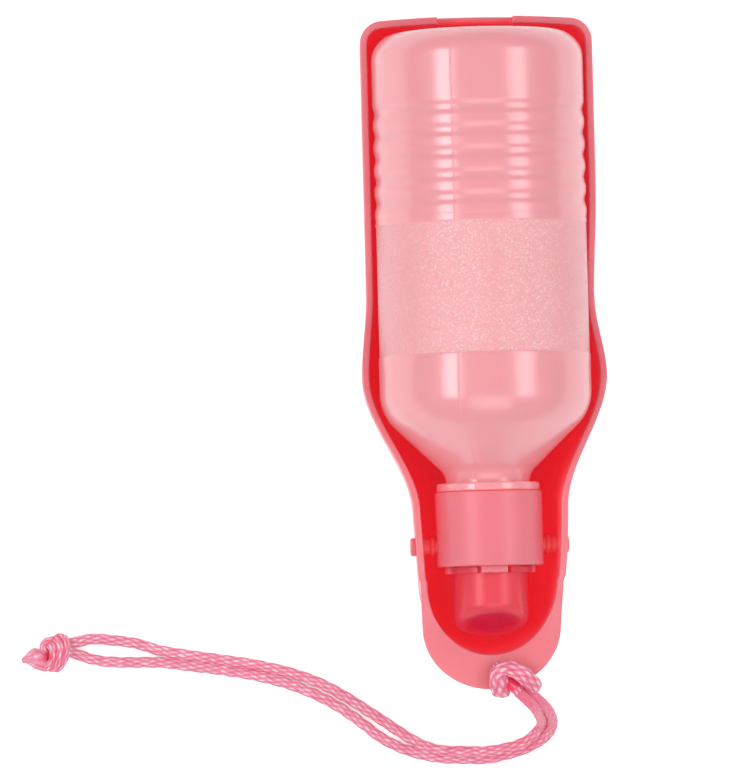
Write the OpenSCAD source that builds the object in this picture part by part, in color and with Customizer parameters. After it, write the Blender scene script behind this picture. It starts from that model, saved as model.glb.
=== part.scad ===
// Travel water bottle for dogs: a squeeze bottle that folds into its own drinking trough.
// +Y points to the wide end, +Z up; the trough stands on its flat bottom at z = 0.

/* [Bottle] */
// Outside diameter of the bottle body
bottle_d = 61; // [54:0.5:68]
// Length from the collar's edge to the bottle's base
bottle_len = 132.5; // [112:0.5:160]
// Wall thickness of the bottle
bottle_wall = 1.1; // [0.8:0.1:1.8]
// Radius of the rounded edge of the base
base_r = 8; // [5:0.5:11]
// Depth of the recess in the middle of the base
base_recess = 2.4; // [1:0.2:4]
// Radius where the shoulder turns into the body
shoulder_r = 14; // [10:0.5:18]
// Radius where the shoulder runs out into the neck
throat_r = 5.9; // [3:0.1:7]
// Length of the shoulder from the bead to the full diameter
shoulder_len = 26.3; // [25.5:0.1:32]
// Outside diameter of the neck
neck_d = 24; // [21:0.5:25]
// Length of the neck inside the collar
neck_len = 17; // [14:0.5:20]
// Outside diameter of the bead above the collar
bead_d = 29.6; // [27:0.2:31]
// Height of the bead
bead_h = 2.4; // [1.6:0.2:3.4]
// Number of grip ribs round the body
rib_count = 5; // [2:1:7]
// Distance between ribs
rib_pitch = 6.45; // [4:0.05:7.5]
// Depth of the grooves between ribs
rib_depth = 0.55; // [0.3:0.05:0.9]
// Distance from the base to the first groove's edge
rib_offset = 20; // [14:0.5:26]
// Depth of the sunk grip panel
panel_recess = 0.25; // [0.1:0.05:0.5]
// Width of the smooth band between grip panel and shoulder
band_len = 10.2; // [8:0.2:14]

/* [Collar and spout] */
// Outside diameter of the hinge collar
collar_d = 30.8; // [30:0.2:33]
// Length of the hinge collar
collar_len = 21.4; // [19:0.2:24]
// Wall thickness of the collar's skirt
collar_wall = 1.9; // [1.4:0.1:2.2]
// Thickness of the collar's front wall
collar_front = 2; // [1.4:0.2:3]
// Distance from the collar's front edge to its pins
pin_back = 6; // [4.5:0.5:9]
// Diameter of the hinge pins
pin_d = 5.2; // [4:0.1:6.5]
// How far the pins stand out of the trough's walls
pin_proud = 1.6; // [0.6:0.1:2.4]
// Diameter of the stop disc on each pin
stop_d = 6.6; // [5.6:0.2:8]
// Height of the lugs on the collar's front
lug_h = 2; // [1.2:0.2:3]
// Angle that each lug covers
lug_angle = 34; // [24:1:40]
// Outside diameter of the ring of lugs
lug_d = 26; // [24:0.2:27.5]
// Outside diameter of the nozzle
nozzle_d = 13; // [9:0.2:14]
// Length of the nozzle beyond the collar
nozzle_len = 11.6; // [8:0.2:13]
// Bore of the nozzle
nozzle_bore = 4; // [2.5:0.1:6]
// Thickness of the spout's flange
spout_flange = 1.3; // [0.8:0.1:2]
// Thickness of the seal washer
washer_h = 1.2; // [0.8:0.1:2]

/* [Outlet cap] */
// Outside diameter of the cap
cap_d = 21.3; // [20:0.1:23]
// Length of the cap at its axis, beyond the lugs
cap_len = 15; // [14:0.2:16]
// Wall thickness of the cap
cap_wall = 1.1; // [0.8:0.1:1.4]
// Slant of the cap's end
cap_slant = 21; // [0:1:22]

/* [Trough] */
// Wall thickness of the trough
wall = 2; // [1.4:0.1:2.6]
// Space between bottle and trough at the sides
side_gap = 1.2; // [0.7:0.1:2.5]
// Space between bottle and trough floor
floor_gap = 1; // [0.7:0.1:3]
// Space between bottle base and end wall
end_gap = 2.9; // [2.6:0.1:5]
// Space between collar and trough walls at the pins
collar_gap = 4.4; // [3:0.1:6]
// Outward lean of the side walls
draft = 5; // [3:0.25:6]
// Outward lean of the end walls
end_draft = 1.5; // [1:0.25:3]
// Outward lean of the wall at the narrow end
tip_draft = 8; // [4:0.5:8]
// Swell of the hips where the shoulder lies
hip_out = 1.8; // [0:0.1:4]
// Distance from the pins to the inner tip of the trough
tip_reach = 31.4; // [31.4:0.2:40]
// How far the lip stands out beyond the inner tip
lip_w = 10; // [8.5:0.25:14]
// Thickness of the lip
lip_t = 2; // [1.6:0.1:3]
// Height of the lip above the bottle's axis
lip_rise = 1; // [-2:0.25:1.5]
// Height of the rim above the bottle's axis at the pins
ear_rise = 7.5; // [5:0.25:11]
// Depth of the dip in the rim for the grip
dip_h = 6.6; // [2:0.2:9]
// Width of the finger notch in the end wall
notch_w = 22; // [14:0.5:28]
// Depth of the finger notch
notch_h = 5.5; // [3:0.25:8]
// Height of the rounded bottom edges
floor_round = 18; // [12:0.5:22]
// Share of the half width that the rounded bottom edges take
floor_share = 0.6; // [0.4:0.05:0.7]
// Diameter of the cord hole in the lip
cord_hole_d = 6.2; // [6.2:0.1:6.6]

/* [Clearances] */
// Radial clearance of the hinge pins
pin_clear = 0.06; // [0.02:0.01:0.1]
// Radial clearance of the cap on its seat
cap_clear = 0.06; // [0.02:0.01:0.1]
// Clearance of parts that only pass each other
clear = 0.25; // [0.2:0.05:0.35]

/* [Cord] */
// Diameter of the cord
cord_d = 2.8; // [2.2:0.1:2.9]

/* [Hidden] */

pink = [0.95, 0.55, 0.60];
pale_pink = [0.97, 0.70, 0.73];
cord_pink = [0.93, 0.42, 0.55];
clear_pink = [0.90, 0.55, 0.62, 0.5];
grey = [0.85, 0.85, 0.83];
round_fn = 96;

// Heights and the places along Y that everything hangs on
bottle_r = bottle_d / 2;
axis_z = wall + floor_gap + bottle_r;
trough_len = lip_w + tip_reach - pin_back + collar_len + bottle_len + end_gap + wall;
end_y = trough_len / 2;
lip_y = -trough_len / 2;
pin_y = lip_y + lip_w + tip_reach;
front_y = pin_y - pin_back;
back_y = front_y + collar_len;
base_y = back_y + bottle_len;

// The stack inside the collar, from the front wall back
front_in_y = front_y + collar_front;
washer_y = front_in_y + spout_flange;
mouth_y = washer_y + washer_h;
bead_y = mouth_y + neck_len;
shoulder_y = bead_y + bead_h + shoulder_len;
collar_r = collar_d / 2;
collar_in_r = collar_r - collar_wall;

function ease(t) = let(c = min(1, max(0, t))) c * c * (3 - 2 * c);
function mix(a, b, t) = a + (b - a) * t;

// ---------- bottle ----------

// The shoulder is two arcs and the cone that touches both; the cone's angle follows from the sizes.
neck_r = neck_d / 2;
shoulder_c = bottle_r - shoulder_r;
throat_y = bead_y + bead_h;
throat_c = neck_r + throat_r;
centres_x = throat_c - shoulder_c;
cone_angle = asin((shoulder_r + throat_r) / norm([centres_x, shoulder_len])) - atan2(centres_x, shoulder_len);
arc_steps = 10;

rib_top_y = base_y - rib_offset;
panel_top_y = rib_top_y - rib_count * rib_pitch - rib_pitch / 2;
band_y = shoulder_y + band_len;
rib_steps = 8;
step_len = 0.4;

function shoulder_arc(r_add) = concat(
    [for (i = [0 : arc_steps]) let(a = mix(180, 180 - cone_angle, i / arc_steps))
        [throat_c + (throat_r - r_add) * cos(a), throat_y + (throat_r - r_add) * sin(a)]],
    [for (i = [0 : arc_steps]) let(a = mix(-cone_angle, 0, i / arc_steps))
        [shoulder_c + (shoulder_r + r_add) * cos(a), shoulder_y + (shoulder_r + r_add) * sin(a)]]);

// Groove depth at a place along the ribs: smooth waves, deepest between two ribs
function rib_cut(y) = rib_depth * (1 - cos(360 * (rib_top_y - y) / rib_pitch)) / 2;

function body_skin() = concat(
    [[bottle_r, band_y], [bottle_r - panel_recess, band_y + step_len],
     [bottle_r - panel_recess, panel_top_y]],
    [for (i = [1 : rib_count * rib_steps + rib_steps / 2])
        let(y = panel_top_y + i * rib_pitch / rib_steps) [bottle_r - rib_cut(y), y]]);

function base_arc(r_in, y_in) = [for (i = [0 : arc_steps]) let(a = 90 * i / arc_steps)
    [bottle_r - base_r + (base_r - r_in) * cos(a), base_y - base_r + (base_r - y_in) * sin(a)]];

bead_r = bead_d / 2;
bead_round = 0.5;
recess_r = bottle_r - base_r - 2;

module bottle_outline() {
    polygon(concat(
        [[0, mouth_y], [neck_r, mouth_y], [neck_r, bead_y], [bead_r - bead_round, bead_y],
         [bead_r, bead_y + bead_round], [bead_r, throat_y - bead_round],
         [bead_r - bead_round, throat_y]],
        shoulder_arc(0), body_skin(), base_arc(0, 0),
        [[recess_r, base_y], [recess_r - base_recess, base_y - base_recess],
         [0, base_y - base_recess]]));
}

module bottle_hollow() {
    inner = bottle_r - bottle_wall - rib_depth;
    polygon(concat(
        [[0, mouth_y - 1], [neck_r - bottle_wall, mouth_y - 1]],
        [for (p = shoulder_arc(-bottle_wall)) [min(p[0], inner), p[1]]],
        base_arc(bottle_wall + rib_depth, bottle_wall),
        [[recess_r - bottle_wall / 2, base_y - bottle_wall],
         [recess_r - base_recess - bottle_wall / 2, base_y - base_recess - bottle_wall],
         [0, base_y - base_recess - bottle_wall]]));
}

// Turns a profile of [radius, y] round the bottle's axis
module turned() {
    translate([0, 0, axis_z]) rotate([-90, 0, 0]) rotate_extrude($fn = round_fn) children();
}

module bottle() {
    color(pale_pink) turned() difference() {
        bottle_outline();
        bottle_hollow();
    }
}

// ---------- collar, spout, washer ----------

pin_r = pin_d / 2;
pin_round = 0.6;
stop_x = collar_r + 0.8;
stop_t = 1.1;
lug_r = lug_d / 2;
edge = 0.5;
seat_r = cap_d / 2 - cap_wall - cap_clear;
seat_len = lug_h + 1.2;
spout_flange_r = collar_in_r - clear;

module collar_ring() {
    turned() polygon([
        [seat_r + clear, front_y], [collar_r - edge, front_y], [collar_r, front_y + edge],
        [collar_r, back_y - edge], [collar_r - edge, back_y], [collar_in_r, back_y],
        [collar_in_r, front_in_y], [seat_r + clear, front_in_y]]);
}

// One pin with its stop disc, from inside the collar's skirt out to its rounded end
module hinge_pin() {
    pin_end_x = trough_half(pin_y) + pin_proud;
    translate([0, pin_y, axis_z]) rotate([0, 90, 0]) rotate_extrude($fn = round_fn) polygon([
        [0, collar_in_r + collar_wall / 4], [pin_r, collar_in_r + collar_wall / 4], [pin_r, stop_x],
        [stop_d / 2, stop_x], [stop_d / 2, stop_x + stop_t], [pin_r, stop_x + stop_t],
        [pin_r, pin_end_x - pin_round], [pin_r - pin_round, pin_end_x], [0, pin_end_x]]);
}

// A part of a ring on the collar's front, centred on an angle from straight up
module ring_sector(mid, sweep, r_in, r_out, y_from, y_to) {
    translate([0, 0, axis_z]) rotate([0, mid, 0]) rotate([-90, 0, 0])
        rotate([0, 0, -90 - sweep / 2])
        rotate_extrude(angle = sweep, $fn = round_fn)
        polygon([[r_in, y_from], [r_out, y_from], [r_out, y_to], [r_in, y_to]]);
}

module hinge_collar() {
    color(pink) difference() {
        union() {
            collar_ring();
            hinge_pin();
            mirror([1, 0, 0]) hinge_pin();
            for (mid = [0 : 90 : 270])
                ring_sector(mid, lug_angle, cap_r + clear, lug_r, front_y - lug_h, front_y + edge);
        }
        turned() square_at(0, collar_in_r, front_in_y, back_y + 1);
    }
}

module square_at(r_from, r_to, y_from, y_to) {
    translate([r_from, y_from]) square([r_to - r_from, y_to - y_from]);
}

module spout() {
    tip_y = front_y - nozzle_len;
    nozzle_r = nozzle_d / 2;
    color(pink) turned() polygon([
        [nozzle_bore / 2, tip_y], [nozzle_r - 2 * edge, tip_y], [nozzle_r - edge, tip_y + edge],
        [nozzle_r, front_y - seat_len], [seat_r - edge, front_y - seat_len],
        [seat_r, front_y - seat_len + edge], [seat_r, front_in_y], [spout_flange_r, front_in_y],
        [spout_flange_r, washer_y], [nozzle_bore / 2, washer_y]]);
}

module seal_washer() {
    color(grey) turned()
        square_at(neck_r - bottle_wall - 1.5, collar_in_r - clear, washer_y, mouth_y);
}

// ---------- outlet cap ----------

cap_r = cap_d / 2;
cap_end_y = front_y - lug_h - cap_len;
segment_angle = 90 - lug_angle - 12;

// Everything behind a slanted plane that crosses the axis at y_at
module behind_slant(y_at) {
    reach = 4 * cap_d;
    translate([0, y_at, axis_z]) rotate([-cap_slant, 0, 0])
        translate([-reach / 2, 0, -reach / 2]) cube([reach, reach, reach]);
}

module outlet_cap() {
    color(clear_pink) {
        difference() {
            intersection() {
                turned() square_at(0, cap_r, cap_end_y - cap_r, front_y - clear);
                behind_slant(cap_end_y);
            }
            intersection() {
                turned() square_at(0, cap_r - cap_wall, cap_end_y - cap_r, front_y + 1);
                behind_slant(cap_end_y + cap_wall / cos(cap_slant));
            }
        }
        for (mid = [45 : 90 : 315])
            ring_sector(mid, segment_angle, cap_r - cap_wall / 2, lug_r - edge,
                        front_y - lug_h, front_y - clear);
    }
}

// ---------- trough ----------

body_half = bottle_r + side_gap + wall;
neck_half = collar_r + collar_gap + wall;
hip_ahead = 4.7;
hip_y = shoulder_y + hip_ahead;
hip_lead = 25;
neck_sweep = 39;
neck_taper = 0.055;
corner_r = 6;
arch = 1.5;
corner_lead = 3;
side_end_y = end_y - corner_r - arch - corner_lead;

// Half width of the trough's outside at the height of the bottle's axis
function trough_half(y) =
    body_half + hip_out * ease((hip_y + hip_lead - y) / hip_lead)
    - (body_half + hip_out - neck_half) * ease((hip_y - y) / neck_sweep)
    - neck_taper * max(0, hip_y - neck_sweep - y);

// Height of the rim: level at the wide end, a dip for the grip, ears at the pins, then the lip
dip_y = hip_y + 20;
dip_wide = 36;
dip_narrow = 21;
ear_lead = 46;
lip_start_y = pin_y - tip_reach + 2 * wall;
lip_fall = 0.07;
function dip_bump(y) = let(t = y > dip_y ? (y - dip_y) / dip_wide : (dip_y - y) / dip_narrow)
    t < 1 ? (1 + cos(180 * t)) / 2 : 0;
function rim_z(y) = axis_z - dip_h * dip_bump(y)
    + ear_rise * ease((hip_y - 1 - y) / ear_lead)
    - (ear_rise - lip_rise) * ease((pin_y - y) / (pin_y - lip_start_y))
    - lip_fall * max(0, lip_start_y - y);

// Half outlines, from the tip up one side to the middle of the end wall
tip_steps = 14;
side_steps = 34;
corner_steps = 5;
end_steps = 3;
tip_y = pin_y - tip_reach;
tip_round = 20.9;
tip_c_y = tip_y + tip_round;
lip_round = 18;
lip_c_y = lip_y + lip_round;
lip_side = 0.3;

function lean(z, angle) = (axis_z - z) * tan(angle);
// The side walls lean down to their foot, where the rounded bottom edge takes over
function side_lean(z) = lean(max(z, floor_round), draft);

// The wall at one height: in_x narrows it all round, share shrinks it for the rounded bottom
function wall_tip(z, in_x, share) = [for (i = [0 : tip_steps]) let(
        a = 90 * i / tip_steps,
        half = (trough_half(tip_c_y) - in_x - side_lean(z)) * share,
        b = (tip_round + wall - in_x - lean(z, tip_draft)) * share)
    [half * sin(a), tip_c_y - b * cos(a)]];

// The lip's outer edge: straight on from the sides, then half an ellipse
function lip_tip(in_x) = [for (i = [0 : tip_steps]) let(
        t = i / tip_steps,
        a = min(90, 90 * t / (1 - lip_side)),
        y = t < 1 - lip_side ? lip_c_y - (lip_c_y - lip_y - in_x) * cos(a)
                             : mix(lip_c_y, tip_c_y, (t - 1 + lip_side) / lip_side))
    [(trough_half(max(y, lip_c_y)) - in_x) * sin(a), y]];

function wall_sides(z_share, in_x, share, top_in) = [for (i = [1 : side_steps]) let(
        y = mix(tip_c_y, side_end_y, i / side_steps),
        z = wall_z(z_share, y, top_in))
    [(trough_half(y) - in_x - side_lean(z)) * share, y]];

function wall_end(z, in_x, share, in_end) = let(
        half = (trough_half(end_y) - in_x - side_lean(z)) * share,
        y_end = end_y - in_x - lean(z, end_draft) - in_end,
        r = max(1, corner_r - in_x))
    concat(
        [for (i = [0 : corner_steps]) let(a = 90 * i / corner_steps)
            [half - r + r * cos(a), y_end - r + r * sin(a) - arch * pow((half - r + r * cos(a)) / half, 2)]],
        [for (i = [1 : end_steps]) let(x = (half - r) * (1 - i / end_steps))
            [x, y_end - arch * pow(x / half, 2)]]);

// Heights: 0 is the top of the rounded bottom edge, 1 the rim, below 0 the rounded edge itself
function wall_z(z_share, y, top_in) = mix(floor_round, rim_z(y) - top_in, z_share);

// A closed ring of points in 3D, right half then left half mirrored
function both_halves(half) = concat(half, [for (i = [len(half) - 2 : -1 : 1])
    [-half[i][0], half[i][1], half[i][2]]]);
function with_z(pts, z_share, top_in) = [for (p = pts) [p[0], p[1], wall_z(z_share, p[1], top_in)]];
function flat_z(pts, z) = [for (p = pts) [p[0], p[1], z]];

function wall_ring(z_share, in_x, top_in) = let(
        z_tip = wall_z(z_share, lip_start_y, top_in),
        z_end = wall_z(z_share, end_y, top_in))
    both_halves(with_z(concat(
        wall_tip(z_tip, in_x, 1), wall_sides(z_share, in_x, 1, top_in),
        wall_end(z_end, in_x, 1, 0)), z_share, top_in));

function lip_ring(in_x, top_in) = both_halves(with_z(concat(
        lip_tip(in_x), wall_sides(1, in_x, 1, top_in),
        wall_end(wall_z(1, end_y, top_in), in_x, 1, 0)), 1, top_in));

// The rounded bottom edge at an angle: 90 where it meets the wall, 0 at the floor
end_round = 8;
function floor_ring(a, in_x, z_floor) = let(
        z = z_floor + (floor_round - z_floor) * (1 - sin(a)),
        share = 1 - floor_share * (1 - cos(a)),
        end_t = min(1, max(0, (end_round - (z - z_floor)) / end_round)),
        in_end = end_round * (1 - sqrt(1 - pow(end_t, 2))))
    both_halves(flat_z(concat(
        wall_tip(z, in_x, share),
        [for (i = [1 : side_steps]) let(y = mix(tip_c_y, side_end_y, i / side_steps))
            [(trough_half(y) - in_x - side_lean(z)) * share, mix(y, y - in_end, i / side_steps)]],
        wall_end(z, in_x, share, in_end)), z));

rim_round = 0.45;
function trough_skin() = concat(
    [for (a = [90 : -11.25 : 0]) floor_ring(a, wall, wall)],
    [wall_ring(0.5, wall, 0), wall_ring(1, wall, rim_round), wall_ring(1, wall - rim_round, 0),
     lip_ring(rim_round, 0), lip_ring(0, rim_round), lip_ring(0, lip_t),
     wall_ring(1, 0, lip_t + rim_round), wall_ring(0.5, 0, 0)],
    [for (a = [0 : 11.25 : 90]) floor_ring(a, 0, 0)]);

// Triangles between rings that all have the same number of points, and a flat cap at each end
function ring_faces(rings) = let(n = len(rings[0])) [
    for (k = [0 : len(rings) - 2], i = [0 : n - 1])
        let(a = k * n + i, b = k * n + (i + 1) % n, c = a + n, d = b + n)
        each [[a, b, c], [b, d, c]]];
function cap_faces(n, first, flip) = let(half = n / 2) [
    for (i = [0 : half - 1])
        let(r0 = first + i, r1 = first + i + 1,
            l0 = first + (n - i) % n, l1 = first + n - i - 1)
        each (i == 0 ? [flip ? [r0, l1, r1] : [r0, r1, l1]]
            : i == half - 1 ? [flip ? [r0, l0, r1] : [r0, r1, l0]]
            : flip ? [[r0, l0, r1], [l0, l1, r1]] : [[r0, r1, l0], [l0, r1, l1]])];

module skin(rings) {
    n = len(rings[0]);
    polyhedron(
        points = [for (r = rings) each r],
        faces = concat(ring_faces(rings), cap_faces(n, 0, true),
                       cap_faces(n, n * (len(rings) - 1), false)),
        convexity = 8);
}

cord_hole_x = 2.5;
cord_hole_edge = 2.1;
cord_hole_y = lip_y + cord_hole_edge + cord_hole_d / 2;
through = 20;

module trough() {
    color(pink) difference() {
        skin(trough_skin());
        translate([0, pin_y, axis_z]) rotate([0, 90, 0])
            cylinder(r = pin_r + pin_clear, h = 3 * neck_half, center = true, $fn = round_fn);
        translate([cord_hole_x, cord_hole_y, axis_z])
            cylinder(d = cord_hole_d, h = through, center = true, $fn = round_fn);
        translate([-notch_w / 2, end_y - 3 * wall, axis_z - notch_h]) cube([notch_w, 6 * wall, through]);
    }
}

// ---------- cord ----------

// One cord, doubled: its middle is hitched through the lip's hole, both ends are in one knot.
// The routes are measured from the lip's edge, x to the right and z up from the ground.
strand_1 = [
    [8.5, 0.5, 34.8], [11.4, -2, 33.3], [14.1, -4, 29.5], [16.4, -6, 24.6], [18.2, -8.2, 18.6],
    [19, -10.8, 13], [18, -13.4, 8.2], [15.8, -15.4, 4.6], [12.1, -17.3, 2.4], [1.9, -19.8, 1.4],
    [-5.2, -19.8, 1.4], [-12.9, -19.3, 1.4], [-19, -18, 1.4], [-24.7, -15.9, 1.4], [-30.2, -12.8, 1.4],
    [-36.3, -7.9, 1.4], [-42.5, -3.5, 1.4], [-49.2, 0.2, 1.4], [-57, 3.4, 1.4], [-66.1, 5.9, 1.4],
    [-75.3, 7.7, 1.4], [-84.6, 9.1, 1.4], [-93.6, 10.4, 1.4], [-100.6, 10.6, 1.4], [-107.6, 10.9, 1.4],
    [-112.8, 11.7, 1.5], [-120.4, 14.4, 3.2]];
strand_2 = [
    [6.9, -1, 36.6], [9.7, -3.5, 35.1], [12.1, -5.6, 30.9], [13.9, -7.4, 24.6], [15.3, -9, 18.6],
    [16, -10.1, 13], [15.8, -11.6, 8.2], [14.3, -13.5, 6.2], [11.2, -15.7, 4.6], [1.6, -17.8, 3.4],
    [-5.3, -17.7, 3.2], [-12.7, -17.2, 3.1], [-18.1, -15.4, 1.9], [-22.8, -12.6, 1.4], [-27.7, -9.2, 1.4],
    [-34.1, -4.8, 1.4], [-40.6, -0.5, 1.4], [-47.7, 3.4, 1.4], [-56, 6.5, 1.4], [-65.4, 8.9, 1.4],
    [-74.8, 10.6, 1.4], [-84.1, 12.1, 1.4], [-93.6, 13.9, 1.4], [-100.5, 16.1, 1.4], [-107.4, 17.2, 1.4],
    [-113.2, 17.7, 1.5], [-120.6, 16.3, 3.2]];
hitch = [
    [8.5, 0.5, 34.8], [6.4, 3.2, 35.7], [4.5, 5.3, 35.4], [3.95, 5.9, 33.4], [3.95, 5.8, 31.2],
    [5.4, 4.8, 29.8], [9, 2.6, 29.7], [12, 1.6, 30.8], [12.6, 1.9, 33.2], [12, 2.6, 36],
    [9.8, 3.9, 38.4], [7.2, 5.5, 39], [4.3, 5.9, 38.9], [2, 4.9, 38.3], [0.8, 2.4, 37],
    [0.7, 0.2, 35.7], [0.8, -1.5, 33.4], [0.9, -1.2, 31], [1, 1.2, 29.8], [1, 4.4, 29.9],
    [1, 5.8, 31.2], [1, 5.8, 33.4], [1.9, 4.9, 35.4], [4.2, 2, 36.2], [6.9, -1, 36.6]];
cord_r = cord_d / 2;
cord_sides = 8;

function unit(v) = v / norm(v);
function heading(route, i) = unit(route[min(i + 1, len(route) - 1)] - route[max(i - 1, 0)]);
// Carries one sideways direction along the route, so that the tube doesn't twist
function sideways(route, i, start) = i == 0 ? start : let(
    last = sideways(route, i - 1, start), h = heading(route, i)) unit(last - h * (last * h));
function tube_rings(route, start) = [for (i = [0 : len(route) - 1]) let(
        h = heading(route, i), u = sideways(route, i, start), v = cross(h, u))
    [for (k = [0 : cord_sides - 1]) let(a = 360 * k / cord_sides)
        route[i] + cord_r * (cos(a) * u + sin(a) * v)]];
function first_side(route) = let(h = heading(route, 0), up = abs(h[2]) > 0.9 ? [1, 0, 0] : [0, 0, 1])
    unit(up - h * (up * h));

module tube(route) {
    rings = tube_rings(route, first_side(route));
    n = cord_sides;
    last = n * (len(rings) - 1);
    translate([0, lip_y, 0]) polyhedron(
        points = [for (r = rings) each r],
        faces = concat(
            [for (k = [0 : len(rings) - 2], i = [0 : n - 1])
                let(a = k * n + i, b = k * n + (i + 1) % n) each [[a, a + n, b], [b, a + n, b + n]]],
            [for (i = [1 : n - 2]) [0, i, i + 1]],
            [for (i = [1 : n - 2]) [last, last + i + 1, last + i]]),
        convexity = 6);
}

module cord_strand_1() {
    color(cord_pink) tube(strand_1);
}

module cord_strand_2() {
    color(cord_pink) tube(strand_2);
}

module hitch_knot() {
    color(cord_pink) tube(hitch);
}

// The knot of both ends: a lump of turns across the cord, lying on the ground, with the frayed tail beyond
knot_d = 8.4;
knot_len = 11.4;
tail_len = 5.4;
knot_at = [-124.4, 13.9, knot_d / 2];
knot_turn = -10;
tail_turn = 12;
module end_knot() {
    color(cord_pink) translate([0, lip_y, 0] + knot_at) {
        rotate([0, 0, knot_turn]) rotate([-90, 0, 0]) rotate_extrude($fn = round_fn) polygon(concat(
            [[0, -knot_len / 2]],
            [for (i = [1 : 11]) let(a = -90 + 15 * i) [knot_d / 2 * cos(a), knot_len / 2 * sin(a)]],
            [[0, knot_len / 2]]));
        rotate([0, 0, tail_turn]) translate([0, 0, cord_r * 1.3 - knot_d / 2]) rotate([0, -90, 0])
            rotate_extrude($fn = round_fn) polygon([
                [0, 0], [cord_r, 0], [cord_r * 1.25, knot_d / 2], [cord_r, knot_d / 2 + tail_len / 2],
                [cord_r / 3, knot_d / 2 + tail_len], [0, knot_d / 2 + tail_len]]);
    }
}

trough();
bottle();
hinge_collar();
seal_washer();
spout();
outlet_cap();
cord_strand_1();
cord_strand_2();
hitch_knot();
end_knot();
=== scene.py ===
"""Travel water bottle for dogs, folded into its drinking trough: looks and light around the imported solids."""
from math import atan, cos, pi, radians, sin, sqrt, tan

import bmesh
import bpy
import numpy as np
from mathutils import Matrix, Vector


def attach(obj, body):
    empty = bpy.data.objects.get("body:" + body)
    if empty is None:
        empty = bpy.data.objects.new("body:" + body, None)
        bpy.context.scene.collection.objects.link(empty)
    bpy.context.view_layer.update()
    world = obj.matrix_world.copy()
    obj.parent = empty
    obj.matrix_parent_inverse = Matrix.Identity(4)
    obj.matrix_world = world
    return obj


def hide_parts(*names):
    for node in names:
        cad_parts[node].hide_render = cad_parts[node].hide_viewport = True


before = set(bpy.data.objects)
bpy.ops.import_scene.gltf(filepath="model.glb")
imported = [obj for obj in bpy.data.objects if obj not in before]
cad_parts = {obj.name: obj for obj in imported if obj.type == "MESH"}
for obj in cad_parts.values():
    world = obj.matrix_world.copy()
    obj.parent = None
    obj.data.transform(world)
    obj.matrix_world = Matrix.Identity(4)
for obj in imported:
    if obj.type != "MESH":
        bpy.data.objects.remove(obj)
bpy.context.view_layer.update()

MM = 0.001
scene = bpy.context.scene
scene.view_settings.view_transform = "Standard"

# ---------------------------------------------------------------- sizes, in millimetres, as in the solids
# y runs along the bottle, from the lip with the cord (LIP_Y) to the end wall with the finger notch (END_Y)
AXIS_Z = 33.5       # height of the bottle's axis
LIP_Y = -97.1
END_Y = 97.1
PIN_Y = -55.7
FRONT_Y = -61.7     # front and back of the screw collar
BACK_Y = -40.3
BASE_Y = 92.2       # base, mouth, throat and shoulder of the bottle
MOUTH_Y = -57.2
THROAT_Y = -37.8
SHOULDER_Y = -11.5
HIP_Y = SHOULDER_Y + 4.7
BOTTLE_R = 30.5
NECK_R = 12.0
COLLAR_R = 15.4
COLLAR_IN_R = 13.5
PIN_R = 2.6
PIN_PROUD = 1.6     # how far the pins stand out of the trough's walls
WALL = 2.0          # the trough's wall
FOOT_Z = 18.0       # where the trough's walls end and its rounded bottom edge begins
CORD_D = 2.8
HOLE_AT = (2.5, LIP_Y + 4.8, AXIS_Z)


def ease(t):
    c = np.clip(t, 0.0, 1.0)
    return c * c * (3 - 2 * c)


def mix(a, b, t):
    return a + (b - a) * t


# ---------------------------------------------------------------- camera: far away, almost straight above
PHOTO_SCALE = 0.2875    # millimetres of the object to a pixel of the picture
PHOTO_WIDTH = 745
CAMERA_FAR = 2.517
SENSOR = 36.0
aim = Vector((-32.6, -9.5, 33.3)) * MM
eye = aim + Vector((-0.092, -0.039, 1.0)) * CAMERA_FAR
forward = (aim - eye).normalized()
roll = atan(0.0262)
upright = Vector((sin(roll), cos(roll), 0.0))
upright = (upright - forward * upright.dot(forward)).normalized()
sideways = forward.cross(upright)
camera_data = bpy.data.cameras.new("camera")
camera = bpy.data.objects.new("camera", camera_data)
scene.collection.objects.link(camera)
camera.matrix_world = Matrix.Translation(eye) @ Matrix((sideways, upright, -forward)).transposed().to_4x4()
camera_data.sensor_fit = "HORIZONTAL"
camera_data.sensor_width = SENSOR
camera_data.lens = (aim - eye).length / (PHOTO_SCALE * MM) / PHOTO_WIDTH * SENSOR
camera_data.clip_end = 20.0
scene.camera = camera


# ---------------------------------------------------------------- small helpers
def linear(r, g, b):
    """A colour as seen on screen, 0 to 255, as Blender wants it."""
    def one(c):
        c /= 255
        return c / 12.92 if c <= 0.04045 else ((c + 0.055) / 1.055) ** 2.4
    return (one(r), one(g), one(b), 1.0)


def add_object(name, points, faces, millimetres=True):
    mesh = bpy.data.meshes.new(name)
    scale = MM if millimetres else 1.0
    mesh.from_pydata([tuple(float(c) * scale for c in p) for p in points], [], faces)
    mesh.validate()
    mesh.update()
    piece = bpy.data.objects.new(name, mesh)
    scene.collection.objects.link(piece)
    return piece


def outward(piece, merge=True):
    """Merges doubles and turns every face outwards."""
    bm = bmesh.new()
    bm.from_mesh(piece.data)
    if merge:
        bmesh.ops.remove_doubles(bm, verts=bm.verts, dist=1e-7)
    bmesh.ops.recalc_face_normals(bm, faces=bm.faces)
    bm.to_mesh(piece.data)
    bm.free()
    return piece


def ring_faces(rings, sides):
    """Quads between closed rings of points, numbered one ring after the other."""
    return [(k * sides + i, k * sides + (i + 1) % sides, (k + 1) * sides + (i + 1) % sides, (k + 1) * sides + i)
            for k in range(rings - 1) for i in range(sides)]


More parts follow.
